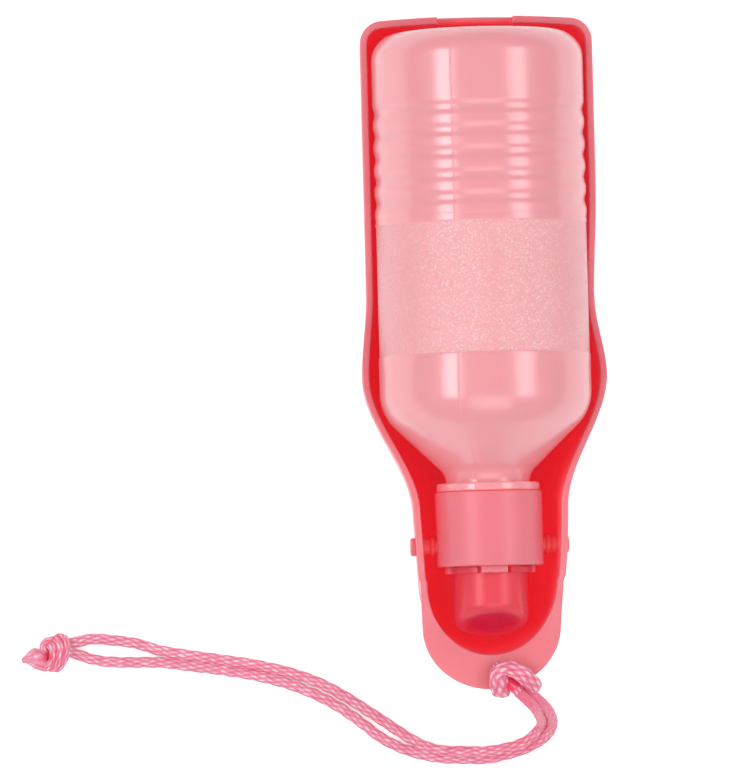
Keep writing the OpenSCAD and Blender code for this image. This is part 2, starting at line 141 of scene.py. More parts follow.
def skin_faces(rings, closed):
    """Faces between lists of point numbers, each a full ring or a single point on the axis."""
    faces = []
    for low, high in list(zip(rings, rings[1:])) + ([(rings[-1], rings[0])] if closed else []):
        n = max(len(low), len(high))
        for k in range(n if n > 1 else 0):
            j = (k + 1) % n
            if len(low) == 1:
                faces.append((low[0], high[j], high[k]))
            elif len(high) == 1:
                faces.append((low[k], low[j], high[0]))
            else:
                faces.append((low[k], low[j], high[j], high[k]))
    return faces


def places(piece):
    """The piece's points, in millimetres."""
    spots = np.empty(len(piece.data.vertices) * 3)
    piece.data.vertices.foreach_get("co", spots)
    return spots.reshape(-1, 3) / MM


def mark(piece, label, values):
    """Gives each point a value that the piece's material reads."""
    attribute = piece.data.attributes.new(label, "FLOAT", "POINT")
    attribute.data.foreach_set("value", np.ascontiguousarray(values, dtype=float).ravel())


def smooth(piece, angle):
    piece.data.shade_smooth()
    piece.data.set_sharp_from_angle(angle=radians(angle))
    return piece


def cut(piece, cutter):
    """Takes the cutter's shape out of the piece and removes the cutter."""
    step = piece.modifiers.new("cut", "BOOLEAN")
    step.operation = "DIFFERENCE"
    step.solver = "MANIFOLD"
    step.object = cutter
    settle(piece)
    bpy.data.objects.remove(cutter)
    return piece


def settle(piece):
    """Turns a piece and its modifiers into one plain mesh."""
    bpy.context.view_layer.update()
    evaluated = piece.evaluated_get(bpy.context.evaluated_depsgraph_get())
    mesh = bpy.data.meshes.new_from_object(evaluated)
    piece.modifiers.clear()
    old = piece.data
    piece.data = mesh
    mesh.name = piece.name
    if isinstance(old, bpy.types.Mesh):
        bpy.data.meshes.remove(old)
    return piece


def join(name, pieces):
    """One mesh from several pieces, which go."""
    bm = bmesh.new()
    for p in pieces:
        bm.from_mesh(p.data)
        bpy.data.objects.remove(p)
    mesh = bpy.data.meshes.new(name)
    bm.to_mesh(mesh)
    bm.free()
    piece = bpy.data.objects.new(name, mesh)
    scene.collection.objects.link(piece)
    return piece


def rounded(profile, radius, steps=4):
    """A closed profile of (radius, y) with each corner rounded, by its own third number where it has one."""
    out = []
    n = len(profile)
    for i, corner in enumerate(profile):
        p = np.array(corner[:2], float)
        r = corner[2] if len(corner) > 2 else radius
        before = np.array(profile[i - 1][:2], float) - p
        after = np.array(profile[(i + 1) % n][:2], float) - p
        lb, la = np.linalg.norm(before), np.linalg.norm(after)
        if not r or lb < 1e-6 or la < 1e-6:
            out.append(tuple(p))
            continue
        before, after = before / lb, after / la
        half = np.arccos(np.clip(before @ after, -1, 1)) / 2
        reach = min(r / tan(half) if half > 0.01 else 1e9, lb * 0.48, la * 0.48)
        start, end = p + before * reach, p + after * reach
        for k in range(steps + 1):
            t = k / steps
            out.append(tuple((1 - t) ** 2 * start + 2 * t * (1 - t) * p + t * t * end))
    return out


def turned(name, profile, angles=192, y_shift=None, r_shift=None):
    """Turns a closed or axis-to-axis profile of (radius, y) round the bottle's axis."""
    if isinstance(angles, int):
        angles = [2 * pi * k / angles for k in range(angles)]
    points, rings = [], []
    for r, y in profile:
        if r < 1e-6:
            rings.append([len(points)])
            points.append((0, y + (y_shift(0, 0, y) if y_shift else 0), AXIS_Z))
            continue
        ring = []
        for a in angles:
            rr = r + (r_shift(r, a, y) if r_shift else 0)
            yy = y + (y_shift(r, a, y) if y_shift else 0)
            ring.append(len(points))
            points.append((rr * sin(a), yy, AXIS_Z + rr * cos(a)))
        rings.append(ring)
    closed = profile[0][0] > 1e-6 or profile[-1][0] > 1e-6
    return outward(add_object(name, points, skin_faces(rings, closed)))


def sector(name, mid, sweep, r_in, r_out, y_from, y_to, edge=0.25):
    """Part of a ring round the bottle's axis, centred on an angle from straight up, edges rounded."""
    steps = 16
    section = rounded([(r_in, y_from), (r_out, y_from), (r_out, y_to), (r_in, y_to)], edge, 3)
    points = []
    for k in range(steps + 1):
        a = radians(mid - sweep / 2 + sweep * k / steps)
        for r, y in section:
            points.append((r * sin(a), y, AXIS_Z + r * cos(a)))
    n = len(section)
    faces = ring_faces(steps + 1, n) + [tuple(range(n)), tuple(range(steps * n, (steps + 1) * n))]
    return outward(add_object(name, points, faces))


# ---------------------------------------------------------------- shader groups shared by the finishes
def new_group(name, inputs, outputs):
    group = bpy.data.node_groups.new(name, "ShaderNodeTree")
    for label, value in inputs:
        socket = group.interface.new_socket(label, in_out="INPUT", socket_type="NodeSocketFloat")
        socket.default_value = value
    for label, kind in outputs:
        group.interface.new_socket(label, in_out="OUTPUT", socket_type=kind)
    return group, group.nodes.new("NodeGroupInput"), group.nodes.new("NodeGroupOutput")


def node(tree, kind, settings=(), inputs=()):
    """Adds a node; its inputs are given as values or as the sockets that feed them."""
    made = tree.nodes.new(kind)
    for key, value in dict(settings).items():
        setattr(made, key, value)
    for key, value in dict(inputs).items():
        socket = made.inputs[key]
        if isinstance(value, bpy.types.NodeSocket):
            tree.links.new(value, socket)
        else:
            socket.default_value = value
    return made


def maths(tree, operation, *values, clamp=False):
    made = node(tree, "ShaderNodeMath", {"operation": operation, "use_clamp": clamp}, dict(enumerate(values)))
    return made.outputs[0]


def eased(tree, value, low, high, to_low=0.0, to_high=1.0, soft=False):
    """Carries a value from one range to another and keeps it there; soft eases it in and out."""
    kind = {"interpolation_type": "SMOOTHSTEP"} if soft else {}
    return node(tree, "ShaderNodeMapRange", kind, {
        "Value": value, "From Min": low, "From Max": high, "To Min": to_low, "To Max": to_high}).outputs["Result"]


def between(tree, value, low_from, low_to, high_from, high_to):
    """1 inside a band of a coordinate and 0 outside, with soft edges."""
    return maths(tree, "MULTIPLY", eased(tree, value, low_from, low_to, soft=True),
                 eased(tree, value, high_from, high_to, 1.0, 0.0, soft=True))


def noise(tree, where, size, detail, rough=0.5):
    return node(tree, "ShaderNodeTexNoise", (), {
        "Vector": where, "Scale": size, "Detail": detail, "Roughness": rough}).outputs["Fac"]


def object_place(tree):
    return node(tree, "ShaderNodeTexCoord").outputs["Object"]


def marked(tree, label):
    return node(tree, "ShaderNodeAttribute", {"attribute_name": label}).outputs["Fac"]


def make_moulded_skin():
    """Flow marks and the faint orange peel of injection-moulded plastic."""
    group, inside, out = new_group(
        "moulded_skin",
        [("Peel Size", 900.0), ("Cloud Size", 45.0), ("Cloud", 0.5), ("Scuff Size", 260.0)],
        [("Height", "NodeSocketFloat"), ("Tone", "NodeSocketFloat"), ("Wear", "NodeSocketFloat")])
    given = inside.outputs
    where = object_place(group)
    squeezed = node(group, "ShaderNodeMapping", (), {"Vector": where, "Scale": (1.0, 0.16, 1.0)}).outputs[0]
    cloud = noise(group, where, given["Cloud Size"], 3.0)
    tone = maths(group, "MULTIPLY", maths(group, "SUBTRACT", cloud, 0.5), given["Cloud"])
    scuff = noise(group, squeezed, given["Scuff Size"], 4.0, 0.7)
    group.links.new(noise(group, where, given["Peel Size"], 2.0, 0.55), out.inputs["Height"])
    group.links.new(maths(group, "ADD", tone, 0.5, clamp=True), out.inputs["Tone"])
    group.links.new(eased(group, scuff, 0.55, 0.8), out.inputs["Wear"])
    return group


MOULDED_SKIN = make_moulded_skin()


def add_skin(tree, peel=900.0, cloud_size=45.0):
    skin = node(tree, "ShaderNodeGroup", {"node_tree": MOULDED_SKIN})
    skin.inputs["Peel Size"].default_value = peel
    skin.inputs["Cloud Size"].default_value = cloud_size
    return skin.outputs


def new_material(name):
    material = bpy.data.materials.new(name)
    material.use_nodes = True
    tree = material.node_tree
    tree.nodes.clear()
    out = tree.nodes.new("ShaderNodeOutputMaterial")
    shader = tree.nodes.new("ShaderNodeBsdfPrincipled")
    tree.links.new(shader.outputs[0], out.inputs["Surface"])
    return material, tree, shader


def set_plain(shader, values):
    """Sets the shader's own sockets to what is the same all over the surface."""
    for label, value in values.items():
        shader.inputs[label].default_value = value


def blend_colour(tree, factor, first, second):
    made = node(tree, "ShaderNodeMix", {"data_type": "RGBA"})
    for socket, value in ((made.inputs[0], factor), (made.inputs[6], first), (made.inputs[7], second)):
        if isinstance(value, bpy.types.NodeSocket):
            tree.links.new(value, socket)
        else:
            socket.default_value = value
    return made.outputs[2]


def blend_over(tree, shader, label, factor, colour):
    """Lays a colour over what the shader's socket gets so far."""
    plain = shader.inputs[label].links[0].from_socket
    tree.links.new(blend_colour(tree, factor, plain, colour), shader.inputs[label])


def add_bump(tree, shader, height, strength, distance):
    """Raises the surface by a height, on top of a bump that is there already."""
    below = shader.inputs["Normal"].links
    inputs = {"Strength": strength, "Distance": distance, "Height": height}
    if below:
        inputs["Normal"] = below[0].from_socket
    made = node(tree, "ShaderNodeBump", (), inputs)
    tree.links.new(made.outputs["Normal"], shader.inputs["Normal"])


def moulded_plastic(name, colour, deep_colour, rough, peel_height, specular=0.5, subsurface=0.0, sheen=0.0,
                    depth=0.003, worn=0.1):
    """Injection-moulded plastic that lets some light in; worn is how much duller its scuffs are."""
    material, tree, shader = new_material(name)
    skin = add_skin(tree)
    shade = blend_colour(tree, skin["Tone"], linear(*deep_colour), linear(*colour))
    tree.links.new(shade, shader.inputs["Base Color"])
    tree.links.new(eased(tree, skin["Wear"], 0.0, 1.0, rough, rough + worn), shader.inputs["Roughness"])
    add_bump(tree, shader, skin["Height"], 0.5, peel_height)
    set_plain(shader, {
        "Specular IOR Level": specular, "Subsurface Weight": subsurface, "Subsurface Radius": (1.0, 0.16, 0.16),
        "Subsurface Scale": depth, "Sheen Weight": sheen, "Sheen Roughness": 0.5,
        "Sheen Tint": linear(255, 225, 225)})
    return material, tree, shader


def add_painted_glow_and_shade(tree, shader, deep_colour, glow, elsewhere=0.0):
    """Painted glow and painted shade: where the piece's mark is 1 its colour turns deep and it glows red, in place of
    light let through the walls or turns round it; elsewhere a faint painted glow.
    """
    deep = marked(tree, "painted_glow_and_shade")
    tree.links.new(blend_colour(tree, deep, (elsewhere, 0, 0, 1), (*glow, 1)), shader.inputs["Emission Color"])
    set_plain(shader, {"Emission Strength": 1.0})
    blend_over(tree, shader, "Base Color", deep, linear(*deep_colour))


def make_trough_plastic():
    """Slightly see-through plastic, with painted shade and a painted red glow deep inside below the rim, and a faint
    painted red glow all over.
    """
    material, tree, shader = moulded_plastic("trough_plastic", (231, 138, 148), (229, 126, 138), 0.34, 0.00002,
                                             subsurface=0.8, depth=0.004)
    add_painted_glow_and_shade(tree, shader, (238, 78, 92), (0.2, 0.009, 0.014), 0.03)
    return material


def make_collar_plastic():
    material, tree, shader = moulded_plastic("collar_plastic", (234, 130, 142), (230, 120, 133), 0.4, 0.00002,
                                             subsurface=0.4)
    # painted shade and a painted red glow where the collar is marked, and a faint painted glow all over
    add_painted_glow_and_shade(tree, shader, (232, 60, 70), (0.14, 0.003, 0.005), 0.02)
    return material


def make_spout_plastic():
    """As the collar's, paler, with a faint painted glow all over in place of light through the clear cap round it."""
    material, _, shader = moulded_plastic("spout_plastic", (250, 168, 176), (246, 150, 160), 0.5, 0.00002,
                                          subsurface=0.5)
    set_plain(shader, {"Emission Color": (0.12, 0.03, 0.035, 1), "Emission Strength": 1.0})
    return material


def make_bottle_plastic():
    """Milky squeezable plastic; the grip panel between ribs and shoulder is spark-textured in the mould and carries
    painted glints; a painted red glow lies round the neck and faintly all over.
    """
    material, tree, shader = moulded_plastic("bottle_plastic", (237, 164, 171), (235, 156, 164), 0.22, 0.00003,
                                             specular=1.0, subsurface=0.5, sheen=0.12, worn=0.01)
    where = object_place(tree)
    axes = node(tree, "ShaderNodeSeparateXYZ", (), {"Vector": where}).outputs
    panel = between(tree, axes["Y"], -0.0014, -0.0006, 0.0362, 0.0370)
    grain = node(tree, "ShaderNodeTexVoronoi", {"feature": "F1"},
                 {"Vector": where, "Scale": 1900.0, "Randomness": 1.0}).outputs["Distance"]
    height = maths(tree, "SUBTRACT", maths(tree, "ADD", grain, noise(tree, where, 2100.0, 2.0, 0.6)), 1.0)
    # painted glints: whitish flecks in the grain, strongest on the two bands where the studio lights are reflected
    # along the bottle
    painted_glint = eased(tree, noise(tree, where, 1700.0, 1.0), 0.53, 0.68, 0.16, 0.72)
    from_highlight_bands = maths(tree, "ABSOLUTE", maths(tree, "SUBTRACT", maths(tree, "ABSOLUTE", axes["X"]), 0.0095))
    on_highlight_bands = eased(tree, from_highlight_bands, 0.003, 0.014, 1.0, 0.3, soft=True)
    painted_glints = maths(tree, "MULTIPLY", maths(tree, "MULTIPLY", painted_glint, panel), on_highlight_bands)
    blend_over(tree, shader, "Base Color", painted_glints, linear(252, 216, 218))
    add_bump(tree, shader, maths(tree, "MULTIPLY", height, panel), 0.9, 0.00018)
    gloss = shader.inputs["Roughness"].links[0].from_socket
    tree.links.new(maths(tree, "ADD", gloss, eased(tree, panel, 0.0, 1.0, 0.0, 0.04)), shader.inputs["Roughness"])
    # painted glow: red light round the neck between bead and collar, and a faint red glow over the rest of the bottle
    painted_neck_glow = between(tree, axes["Y"], -0.0650, -0.0640, -0.0403, -0.0401)
    tree.links.new(blend_colour(tree, painted_neck_glow, (0.06, 0.0, 0.002, 1), (0.4, 0.02, 0.03, 1)),
                   shader.inputs["Emission Color"])
    set_plain(shader, {"Emission Strength": 1.0})
    return material


def make_clear_plastic():
    """Clear pink plastic with faint flow marks; painted shade turns the slanted end a darker magenta, and a faint
    painted red glow lies all over.
    """
    material, tree, shader = new_material("clear_plastic")
    skin = add_skin(tree, peel=300.0, cloud_size=120.0)
    shade = blend_colour(tree, skin["Tone"], linear(249, 128, 146), linear(251, 146, 162))
    tree.links.new(shade, shader.inputs["Base Color"])
    # painted shade on the slanted end
    blend_over(tree, shader, "Base Color", marked(tree, "painted_end_shade"), linear(222, 70, 132))
    tree.links.new(eased(tree, skin["Wear"], 0.0, 1.0, 0.28, 0.36), shader.inputs["Roughness"])
    add_bump(tree, shader, skin["Height"], 0.3, 0.00004)
    set_plain(shader, {"Transmission Weight": 0.8, "IOR": 1.38, "Specular IOR Level": 0.35,
                       "Emission Color": (0.05, 0.0, 0.004, 1), "Emission Strength": 1.0})
    return material


# painted shade in the creases and painted highlights on the crowns, by the yarns' height
YARN_SHADE_AND_HIGHLIGHT_COLOURS = ((0.0, (224, 92, 128)), (0.3, (236, 128, 157)), (0.65, (239, 148, 173)), (0.9, (244, 180, 198)),
                (1.0, (250, 220, 228)))


def make_cord_fabric():
    """Braided yarn: painted highlights where it crowns and painted shade in the creases, with fine fibres; painted
    shade and a painted red glow where the cord is marked.
    """
    material, tree, shader = new_material("cord_fabric")
    where = object_place(tree)
    yarn = marked(tree, "yarn_height")
    fibre = noise(tree, where, 3200.0, 2.0)
    patch = noise(tree, where, 420.0, 3.0)
    light = maths(tree, "ADD", maths(tree, "MULTIPLY", maths(tree, "SUBTRACT", fibre, 0.5), 0.35), yarn)
    light = maths(tree, "ADD", maths(tree, "SUBTRACT", patch, 0.5), light)
    ramp = node(tree, "ShaderNodeValToRGB", (), {"Fac": light})
    stops = ramp.color_ramp.elements
    for place, colour in YARN_SHADE_AND_HIGHLIGHT_COLOURS:
        stop = stops[0] if place == 0 else stops[-1] if place == 1 else stops.new(place)
        stop.position, stop.color = place, linear(*colour)
    tree.links.new(ramp.outputs["Color"], shader.inputs["Base Color"])
    # painted shade and red glow in the creases and by the hitch
    add_painted_glow_and_shade(tree, shader, (220, 36, 78), (0.13, 0.0, 0.012))
    add_bump(tree, shader, maths(tree, "ADD", maths(tree, "MULTIPLY", fibre, 0.3), yarn), 0.6, 0.00006)
    set_plain(shader, {"Roughness": 0.5, "Sheen Weight": 0.3, "Sheen Tint": linear(255, 210, 225)})
    return material


trough_plastic = make_trough_plastic()
collar_plastic = make_collar_plastic()
spout_plastic = make_spout_plastic()
bottle_plastic = make_bottle_plastic()
clear_plastic = make_clear_plastic()
cord_fabric = make_cord_fabric()
seal_rubber = moulded_plastic("seal_rubber", (214, 212, 206), (200, 198, 192), 0.6, 0.00003)[0]

# ---------------------------------------------------------------- cord: the same routes as the solids follow
SIDES = 64
YARN_STEP = 0.2
STRAND_1 = [
    (8.5, 0.5, 34.8), (11.4, -2, 33.3), (14.1, -4, 29.5), (16.4, -6, 24.6), (18.2, -8.2, 18.6), (19, -10.8, 13),
    (18, -13.4, 8.2), (15.8, -15.4, 4.6), (12.1, -17.3, 2.4), (1.9, -19.8, 1.4), (-5.2, -19.8, 1.4),
    (-12.9, -19.3, 1.4), (-19, -18, 1.4), (-24.7, -15.9, 1.4), (-30.2, -12.8, 1.4), (-36.3, -7.9, 1.4),
    (-42.5, -3.5, 1.4), (-49.2, 0.2, 1.4), (-57, 3.4, 1.4), (-66.1, 5.9, 1.4), (-75.3, 7.7, 1.4),
    (-84.6, 9.1, 1.4), (-93.6, 10.4, 1.4), (-100.6, 10.6, 1.4), (-107.6, 10.9, 1.4), (-112.8, 11.7, 1.5),
    (-120.4, 14.4, 3.2)]
STRAND_2 = [
    (6.9, -1, 36.6), (9.7, -3.5, 35.1), (12.1, -5.6, 30.9), (13.9, -7.4, 24.6), (15.3, -9, 18.6),
    (16, -10.1, 13), (15.8, -11.6, 8.2), (14.3, -13.5, 6.2), (11.2, -15.7, 4.6), (1.6, -17.8, 3.4),
    (-5.3, -17.7, 3.2), (-12.7, -17.2, 3.1), (-18.1, -15.4, 1.9), (-22.8, -12.6, 1.4), (-27.7, -9.2, 1.4),
    (-34.1, -4.8, 1.4), (-40.6, -0.5, 1.4), (-47.7, 3.4, 1.4), (-56, 6.5, 1.4), (-65.4, 8.9, 1.4),
    (-74.8, 10.6, 1.4), (-84.1, 12.1, 1.4), (-93.6, 13.9, 1.4), (-100.5, 16.1, 1.4), (-107.4, 17.2, 1.4),
    (-113.2, 17.7, 1.5), (-120.6, 16.3, 3.2)]
HITCH = [
    (8.5, 0.5, 34.8), (6.4, 3.4, 35.7), (4.6, 6, 35.4), (4, 6.7, 33.4), (4, 6.6, 31.2), (5.4, 5, 29.8),
    (9, 2.6, 29.7), (12, 1, 30.6), (12.8, 0.4, 33), (12.1, 0.8, 35.8), (10, 2.3, 38), (7.5, 4.3, 39.2),
    (4.7, 5.7, 39.4), (2.5, 5.7, 39), (1.2, 4.3, 38.4), (1.2, 2, 37.6), (1.6, 0, 36.3), (2.2, -1.4, 34),
    (2.4, -1.3, 31.2), (1.8, 1, 29.6), (1.1, 4.6, 29.8), (1, 6.6, 31.2), (1, 6.6, 33.4), (1.9, 5.3, 35.4),
    (4.2, 2, 36.2), (6.9, -1, 36.6)]
# how wide the pressed braid is at each of the hitch's points, against a round one
HITCH_WIDE = [1.15, 1.15, 1.15, 1, 1, 1, 1, 1.2, 1.4, 1.6, 1.72, 1.78, 1.7, 1.65, 1.85, 1.98, 1.98, 1.85, 1.5, 1.2,
              1, 1, 1, 1.15, 1.15, 1.15]
CREVICE_SHADE_SPOT = (5.1, 1.4)    # the spot of painted shade and glow where the strands come out under the hitch, from the lip's edge


def through_points(route, step=0.5):
    """A smooth line through the route's points: from millimetres off the lip's edge to metres in the part."""
    p = np.array(route, float) + [0, LIP_Y, 0]
    p = np.vstack([2 * p[0] - p[1], p, 2 * p[-1] - p[-2]])
    knots = np.concatenate([[0], np.cumsum(np.sqrt(np.linalg.norm(np.diff(p, axis=0), axis=1)))])
    line = []
    for i in range(1, len(p) - 2):
        t0, t1, t2, t3 = knots[i - 1:i + 3]
        count = max(2, int(np.linalg.norm(p[i + 1] - p[i]) / step))
        for t in np.linspace(t1, t2, count, endpoint=False):
            a1 = (t1 - t) / (t1 - t0) * p[i - 1] + (t - t0) / (t1 - t0) * p[i]
            a2 = (t2 - t) / (t2 - t1) * p[i] + (t - t1) / (t2 - t1) * p[i + 1]
            a3 = (t3 - t) / (t3 - t2) * p[i + 1] + (t - t2) / (t3 - t2) * p[i + 2]
            b1 = (t2 - t) / (t2 - t0) * a1 + (t - t0) / (t2 - t0) * a2
            b2 = (t3 - t) / (t3 - t1) * a2 + (t - t1) / (t3 - t1) * a3
            line.append((t2 - t) / (t2 - t1) * b1 + (t - t1) / (t2 - t1) * b2)
    line.append(p[-2])
    return np.array(line) * MM


def make_braid_tree():
    """A tube along a line, with yarns laid over and under each other both ways round it."""
    tree = bpy.data.node_groups.new("braided_cord", "GeometryNodeTree")
    face = tree.interface
    face.new_socket("Geometry", in_out="INPUT", socket_type="NodeSocketGeometry")
    for label, value in (("Cord Radius", 0.0014), ("Yarns Each Way", 7.0), ("Yarn Advance", 0.0046),
                         ("Relief", 0.00016), ("Step", 0.0002)):
        face.new_socket(label, in_out="INPUT", socket_type="NodeSocketFloat").default_value = value
    face.new_socket("Sides", in_out="INPUT", socket_type="NodeSocketInt").default_value = 64
    face.new_socket("Material", in_out="INPUT", socket_type="NodeSocketMaterial")
    face.new_socket("Geometry", in_out="OUTPUT", socket_type="NodeSocketGeometry")
    given = tree.nodes.new("NodeGroupInput").outputs

    def kept(curve, name, measure):
        """Keeps a measure of where each point of a curve lies, for use on the tube."""
        keep = node(tree, "GeometryNodeCaptureAttribute", (), {"Geometry": curve.outputs[0]})
        keep.capture_items.new("FLOAT", name)
        tree.links.new(node(tree, "GeometryNodeSplineParameter").outputs[measure], keep.inputs[name])
        return keep.outputs

    line = kept(node(tree, "GeometryNodeResampleCurve", {"mode": "LENGTH"},
                     {"Curve": given["Geometry"], "Length": given["Step"]}), "Along", "Length")
    ring = kept(node(tree, "GeometryNodeCurvePrimitiveCircle", (),
                     {"Resolution": given["Sides"], "Radius": given["Cord Radius"]}), "Around", "Factor")
    tube = node(tree, "GeometryNodeCurveToMesh", (),
                {"Curve": line[0], "Profile Curve": ring[0], "Fill Caps": True})
    turn = maths(tree, "MULTIPLY", ring["Around"], given["Yarns Each Way"])
    travel = maths(tree, "DIVIDE", line["Along"], given["Yarn Advance"])
    ways = [maths(tree, operation, turn, travel) for operation in ("ADD", "SUBTRACT")]
    crowns = [maths(tree, "SINE", maths(tree, "MULTIPLY", maths(tree, "FRACT", way), pi)) for way in ways]
    cell = maths(tree, "ADD", *[maths(tree, "FLOOR", way) for way in ways])
    over = maths(tree, "FLOORED_MODULO", cell, 2.0)
    first, second = [maths(tree, "MULTIPLY", crown, maths(tree, "POWER", other, 0.3))
                     for crown, other in (crowns, crowns[::-1])]
    under = maths(tree, "SUBTRACT", 1.0, over)
    height = maths(tree, "ADD", maths(tree, "MULTIPLY", first, over), maths(tree, "MULTIPLY", second, under))
    lift = maths(tree, "MULTIPLY", maths(tree, "SUBTRACT", height, 0.8), given["Relief"])
    normal = node(tree, "GeometryNodeInputNormal")
    offset = node(tree, "ShaderNodeVectorMath", {"operation": "SCALE"}, {0: normal.outputs[0], "Scale": lift})
    named = node(tree, "GeometryNodeStoreNamedAttribute", {"data_type": "FLOAT", "domain": "POINT"},
                 {"Geometry": tube.outputs[0], "Name": "yarn_height", "Value": height})
    moved = node(tree, "GeometryNodeSetPosition", (), {"Geometry": named.outputs[0], "Offset": offset.outputs[0]})
    soft = node(tree, "GeometryNodeSetShadeSmooth", (), {"Geometry": moved.outputs[0]})
    real = node(tree, "GeometryNodeRealizeInstances", (), {"Geometry": soft.outputs[0]})
    dyed = node(tree, "GeometryNodeSetMaterial", (), {"Geometry": real.outputs[0], "Material": given["Material"]})
    end = tree.nodes.new("NodeGroupOutput")
    tree.links.new(dyed.outputs[0], end.inputs["Geometry"])
    return tree


BRAID = make_braid_tree()


def braid_rings(path, radius=CORD_D / 2):
    """The rings of a braided cord along a path in metres, and the height of the yarns at each point."""
    curve = bpy.data.curves.new("cord_line", "CURVE")
    curve.dimensions = "3D"
    spline = curve.splines.new("POLY")
    spline.points.add(len(path) - 1)
    for point, p in zip(spline.points, path):
        point.co = (*p, 1.0)
    line = bpy.data.objects.new("cord_line", curve)
    scene.collection.objects.link(line)
    braid = line.modifiers.new("braid", "NODES")
    braid.node_group = BRAID
    values = {"Cord Radius": radius * MM, "Sides": SIDES, "Material": cord_fabric, "Step": YARN_STEP * MM}
    for item in BRAID.interface.items_tree:
        if item.in_out == "INPUT" and item.name in values:
            braid[item.identifier] = values[item.name]
    bpy.context.view_layer.update()
    evaluated = line.evaluated_get(bpy.context.evaluated_depsgraph_get())
    mesh = bpy.data.meshes.new_from_object(evaluated)
    line.modifiers.clear()
    bpy.data.objects.remove(line)
    bpy.data.curves.remove(curve)
    count = len(mesh.vertices)
    co, height = np.empty(count * 3), np.empty(count)
    mesh.vertices.foreach_get("co", co)
    mesh.attributes["yarn_height"].data.foreach_get("value", height)
    bpy.data.meshes.remove(mesh)
    return co.reshape(-1, SIDES, 3), height.reshape(-1, SIDES)


def pressed(rings, away, wide):
    """Presses a hollow braid flat: each ring wider by a factor and thinner to match; away gives its upper side."""
    centre = rings.mean(1)
    tangent = np.gradient(centre, axis=0)
    tangent /= np.linalg.norm(tangent, axis=1)[:, None]
    up = away(centre)
    up = up - tangent * (up * tangent).sum(1)[:, None]
    up /= np.linalg.norm(up, axis=1)[:, None]
    across = np.cross(tangent, up)
    off = rings - centre[:, None]
    thin = 1 - 0.42 * (wide - 1)
    return centre[:, None] + sum((off * axis[:, None]).sum(2)[..., None] * axis[:, None] * size[:, None, None]
                                 for axis, size in ((tangent, np.ones(len(wide))), (up, thin), (across, wide)))


def tube_piece(name, rings, yarn, deep):
    """One plain mesh from a stretch of rings, closed at both ends; deep is the mask of painted shade and glow, 1 in
    the creases between turns.
    """
    count, sides = yarn.shape
    last = (count - 1) * sides
    faces = ring_faces(count, sides) + [tuple(range(sides - 1, -1, -1)), tuple(range(last, last + sides))]
    piece = outward(add_object(name, rings.reshape(-1, 3), faces, False), merge=False)
    mark(piece, "yarn_height", yarn)
    mark(piece, "painted_glow_and_shade", deep)
    piece.data.shade_smooth()
    piece.data.materials.append(cord_fabric)
    return piece


def reach_along(points):
    """How far along a line each of its points lies."""
    return np.concatenate([[0], np.cumsum(np.linalg.norm(np.diff(points, axis=0), axis=1))])


def path_length(path):
    return float(reach_along(path)[-1])


def near(points, spot):
    """How far points lie from a spot beside the lip, seen from above, in millimetres."""
    return np.linalg.norm(points[..., :2] - np.array([spot[0], spot[1] + LIP_Y]) * MM, axis=-1) / MM


path_1 = through_points(STRAND_1)
path_2 = through_points(STRAND_2)
path_hitch = through_points(HITCH, 0.3)


def up_from_ground(c):
    return np.tile((0.0, 0.0, 1.0), (len(c), 1))


def away_from_lip(c):
    """Outwards from the lip that the hitch goes round: up on top, forwards at its edge, down below."""
    x, y, z = (c / MM - [0, LIP_Y, 0]).T
    return np.stack([(x - 7) * ease((x - 8) / 4), y - 3, z - 33], 1)


def make_cord():
    """One braid from end to end, cut where the hitch begins and ends, so that its yarns run on."""
    whole = np.vstack([path_1[::-1], path_hitch[1:], path_2[1:]])
    rings, yarn = braid_rings(whole)
    along = reach_along(rings.mean(1))
    along *= path_length(whole) / along[-1]
    first = path_length(path_1)
    second = first + path_length(path_hitch)
    on_hitch = (along > first) & (along < second)
    from_hitch = np.minimum(abs(along - first), abs(along - second)) / MM
    reach = reach_along(np.array(HITCH))
    press = np.interp(np.clip((along - first) / (second - first), 0, 1), reach / reach[-1], HITCH_WIDE)
    press = np.where(on_hitch, press, np.interp(from_hitch, [0, 8], [1.15, 1.14]))
    rings = np.where(on_hitch[:, None, None], pressed(rings, away_from_lip, press),
                     pressed(rings, up_from_ground, press))
    # painted shade and glow: in the crevice under the hitch, faintly on the hitch, and along the strands near it
    deep = (1 - ease((near(rings, CREVICE_SHADE_SPOT) - 1.4) / 2.2)) * (1 - ease((rings[..., 2] / MM - 37.4) / 1.0))
    deep = np.maximum(deep, np.where(on_hitch, 0.15, 0.45 * np.clip(1 - from_hitch / 70, 0, 1))[:, None])
    # pulled tight beside the hitch, the yarns lie flatter, with less relief and less painted highlight and shade; in
    # the hitch itself they stand out more
    calm = np.where(on_hitch, 0, 0.7 * np.clip(1 - from_hitch / 45, 0, 1))[:, None]
    yarn = np.clip(mix(yarn, 0.6, calm) + np.where(on_hitch, 0.15, 0)[:, None] * (yarn - 0.6), 0, 1)
    a, b = int(np.searchsorted(along, first)), int(np.searchsorted(along, second))
    return [tube_piece(name, rings[part], yarn[part], deep[part]) for name, part in (
        ("strand_1", slice(0, a + 1)), ("hitch", slice(a, b + 1)), ("strand_2", slice(b, None)))]


strand_1, hitch, strand_2 = make_cord()


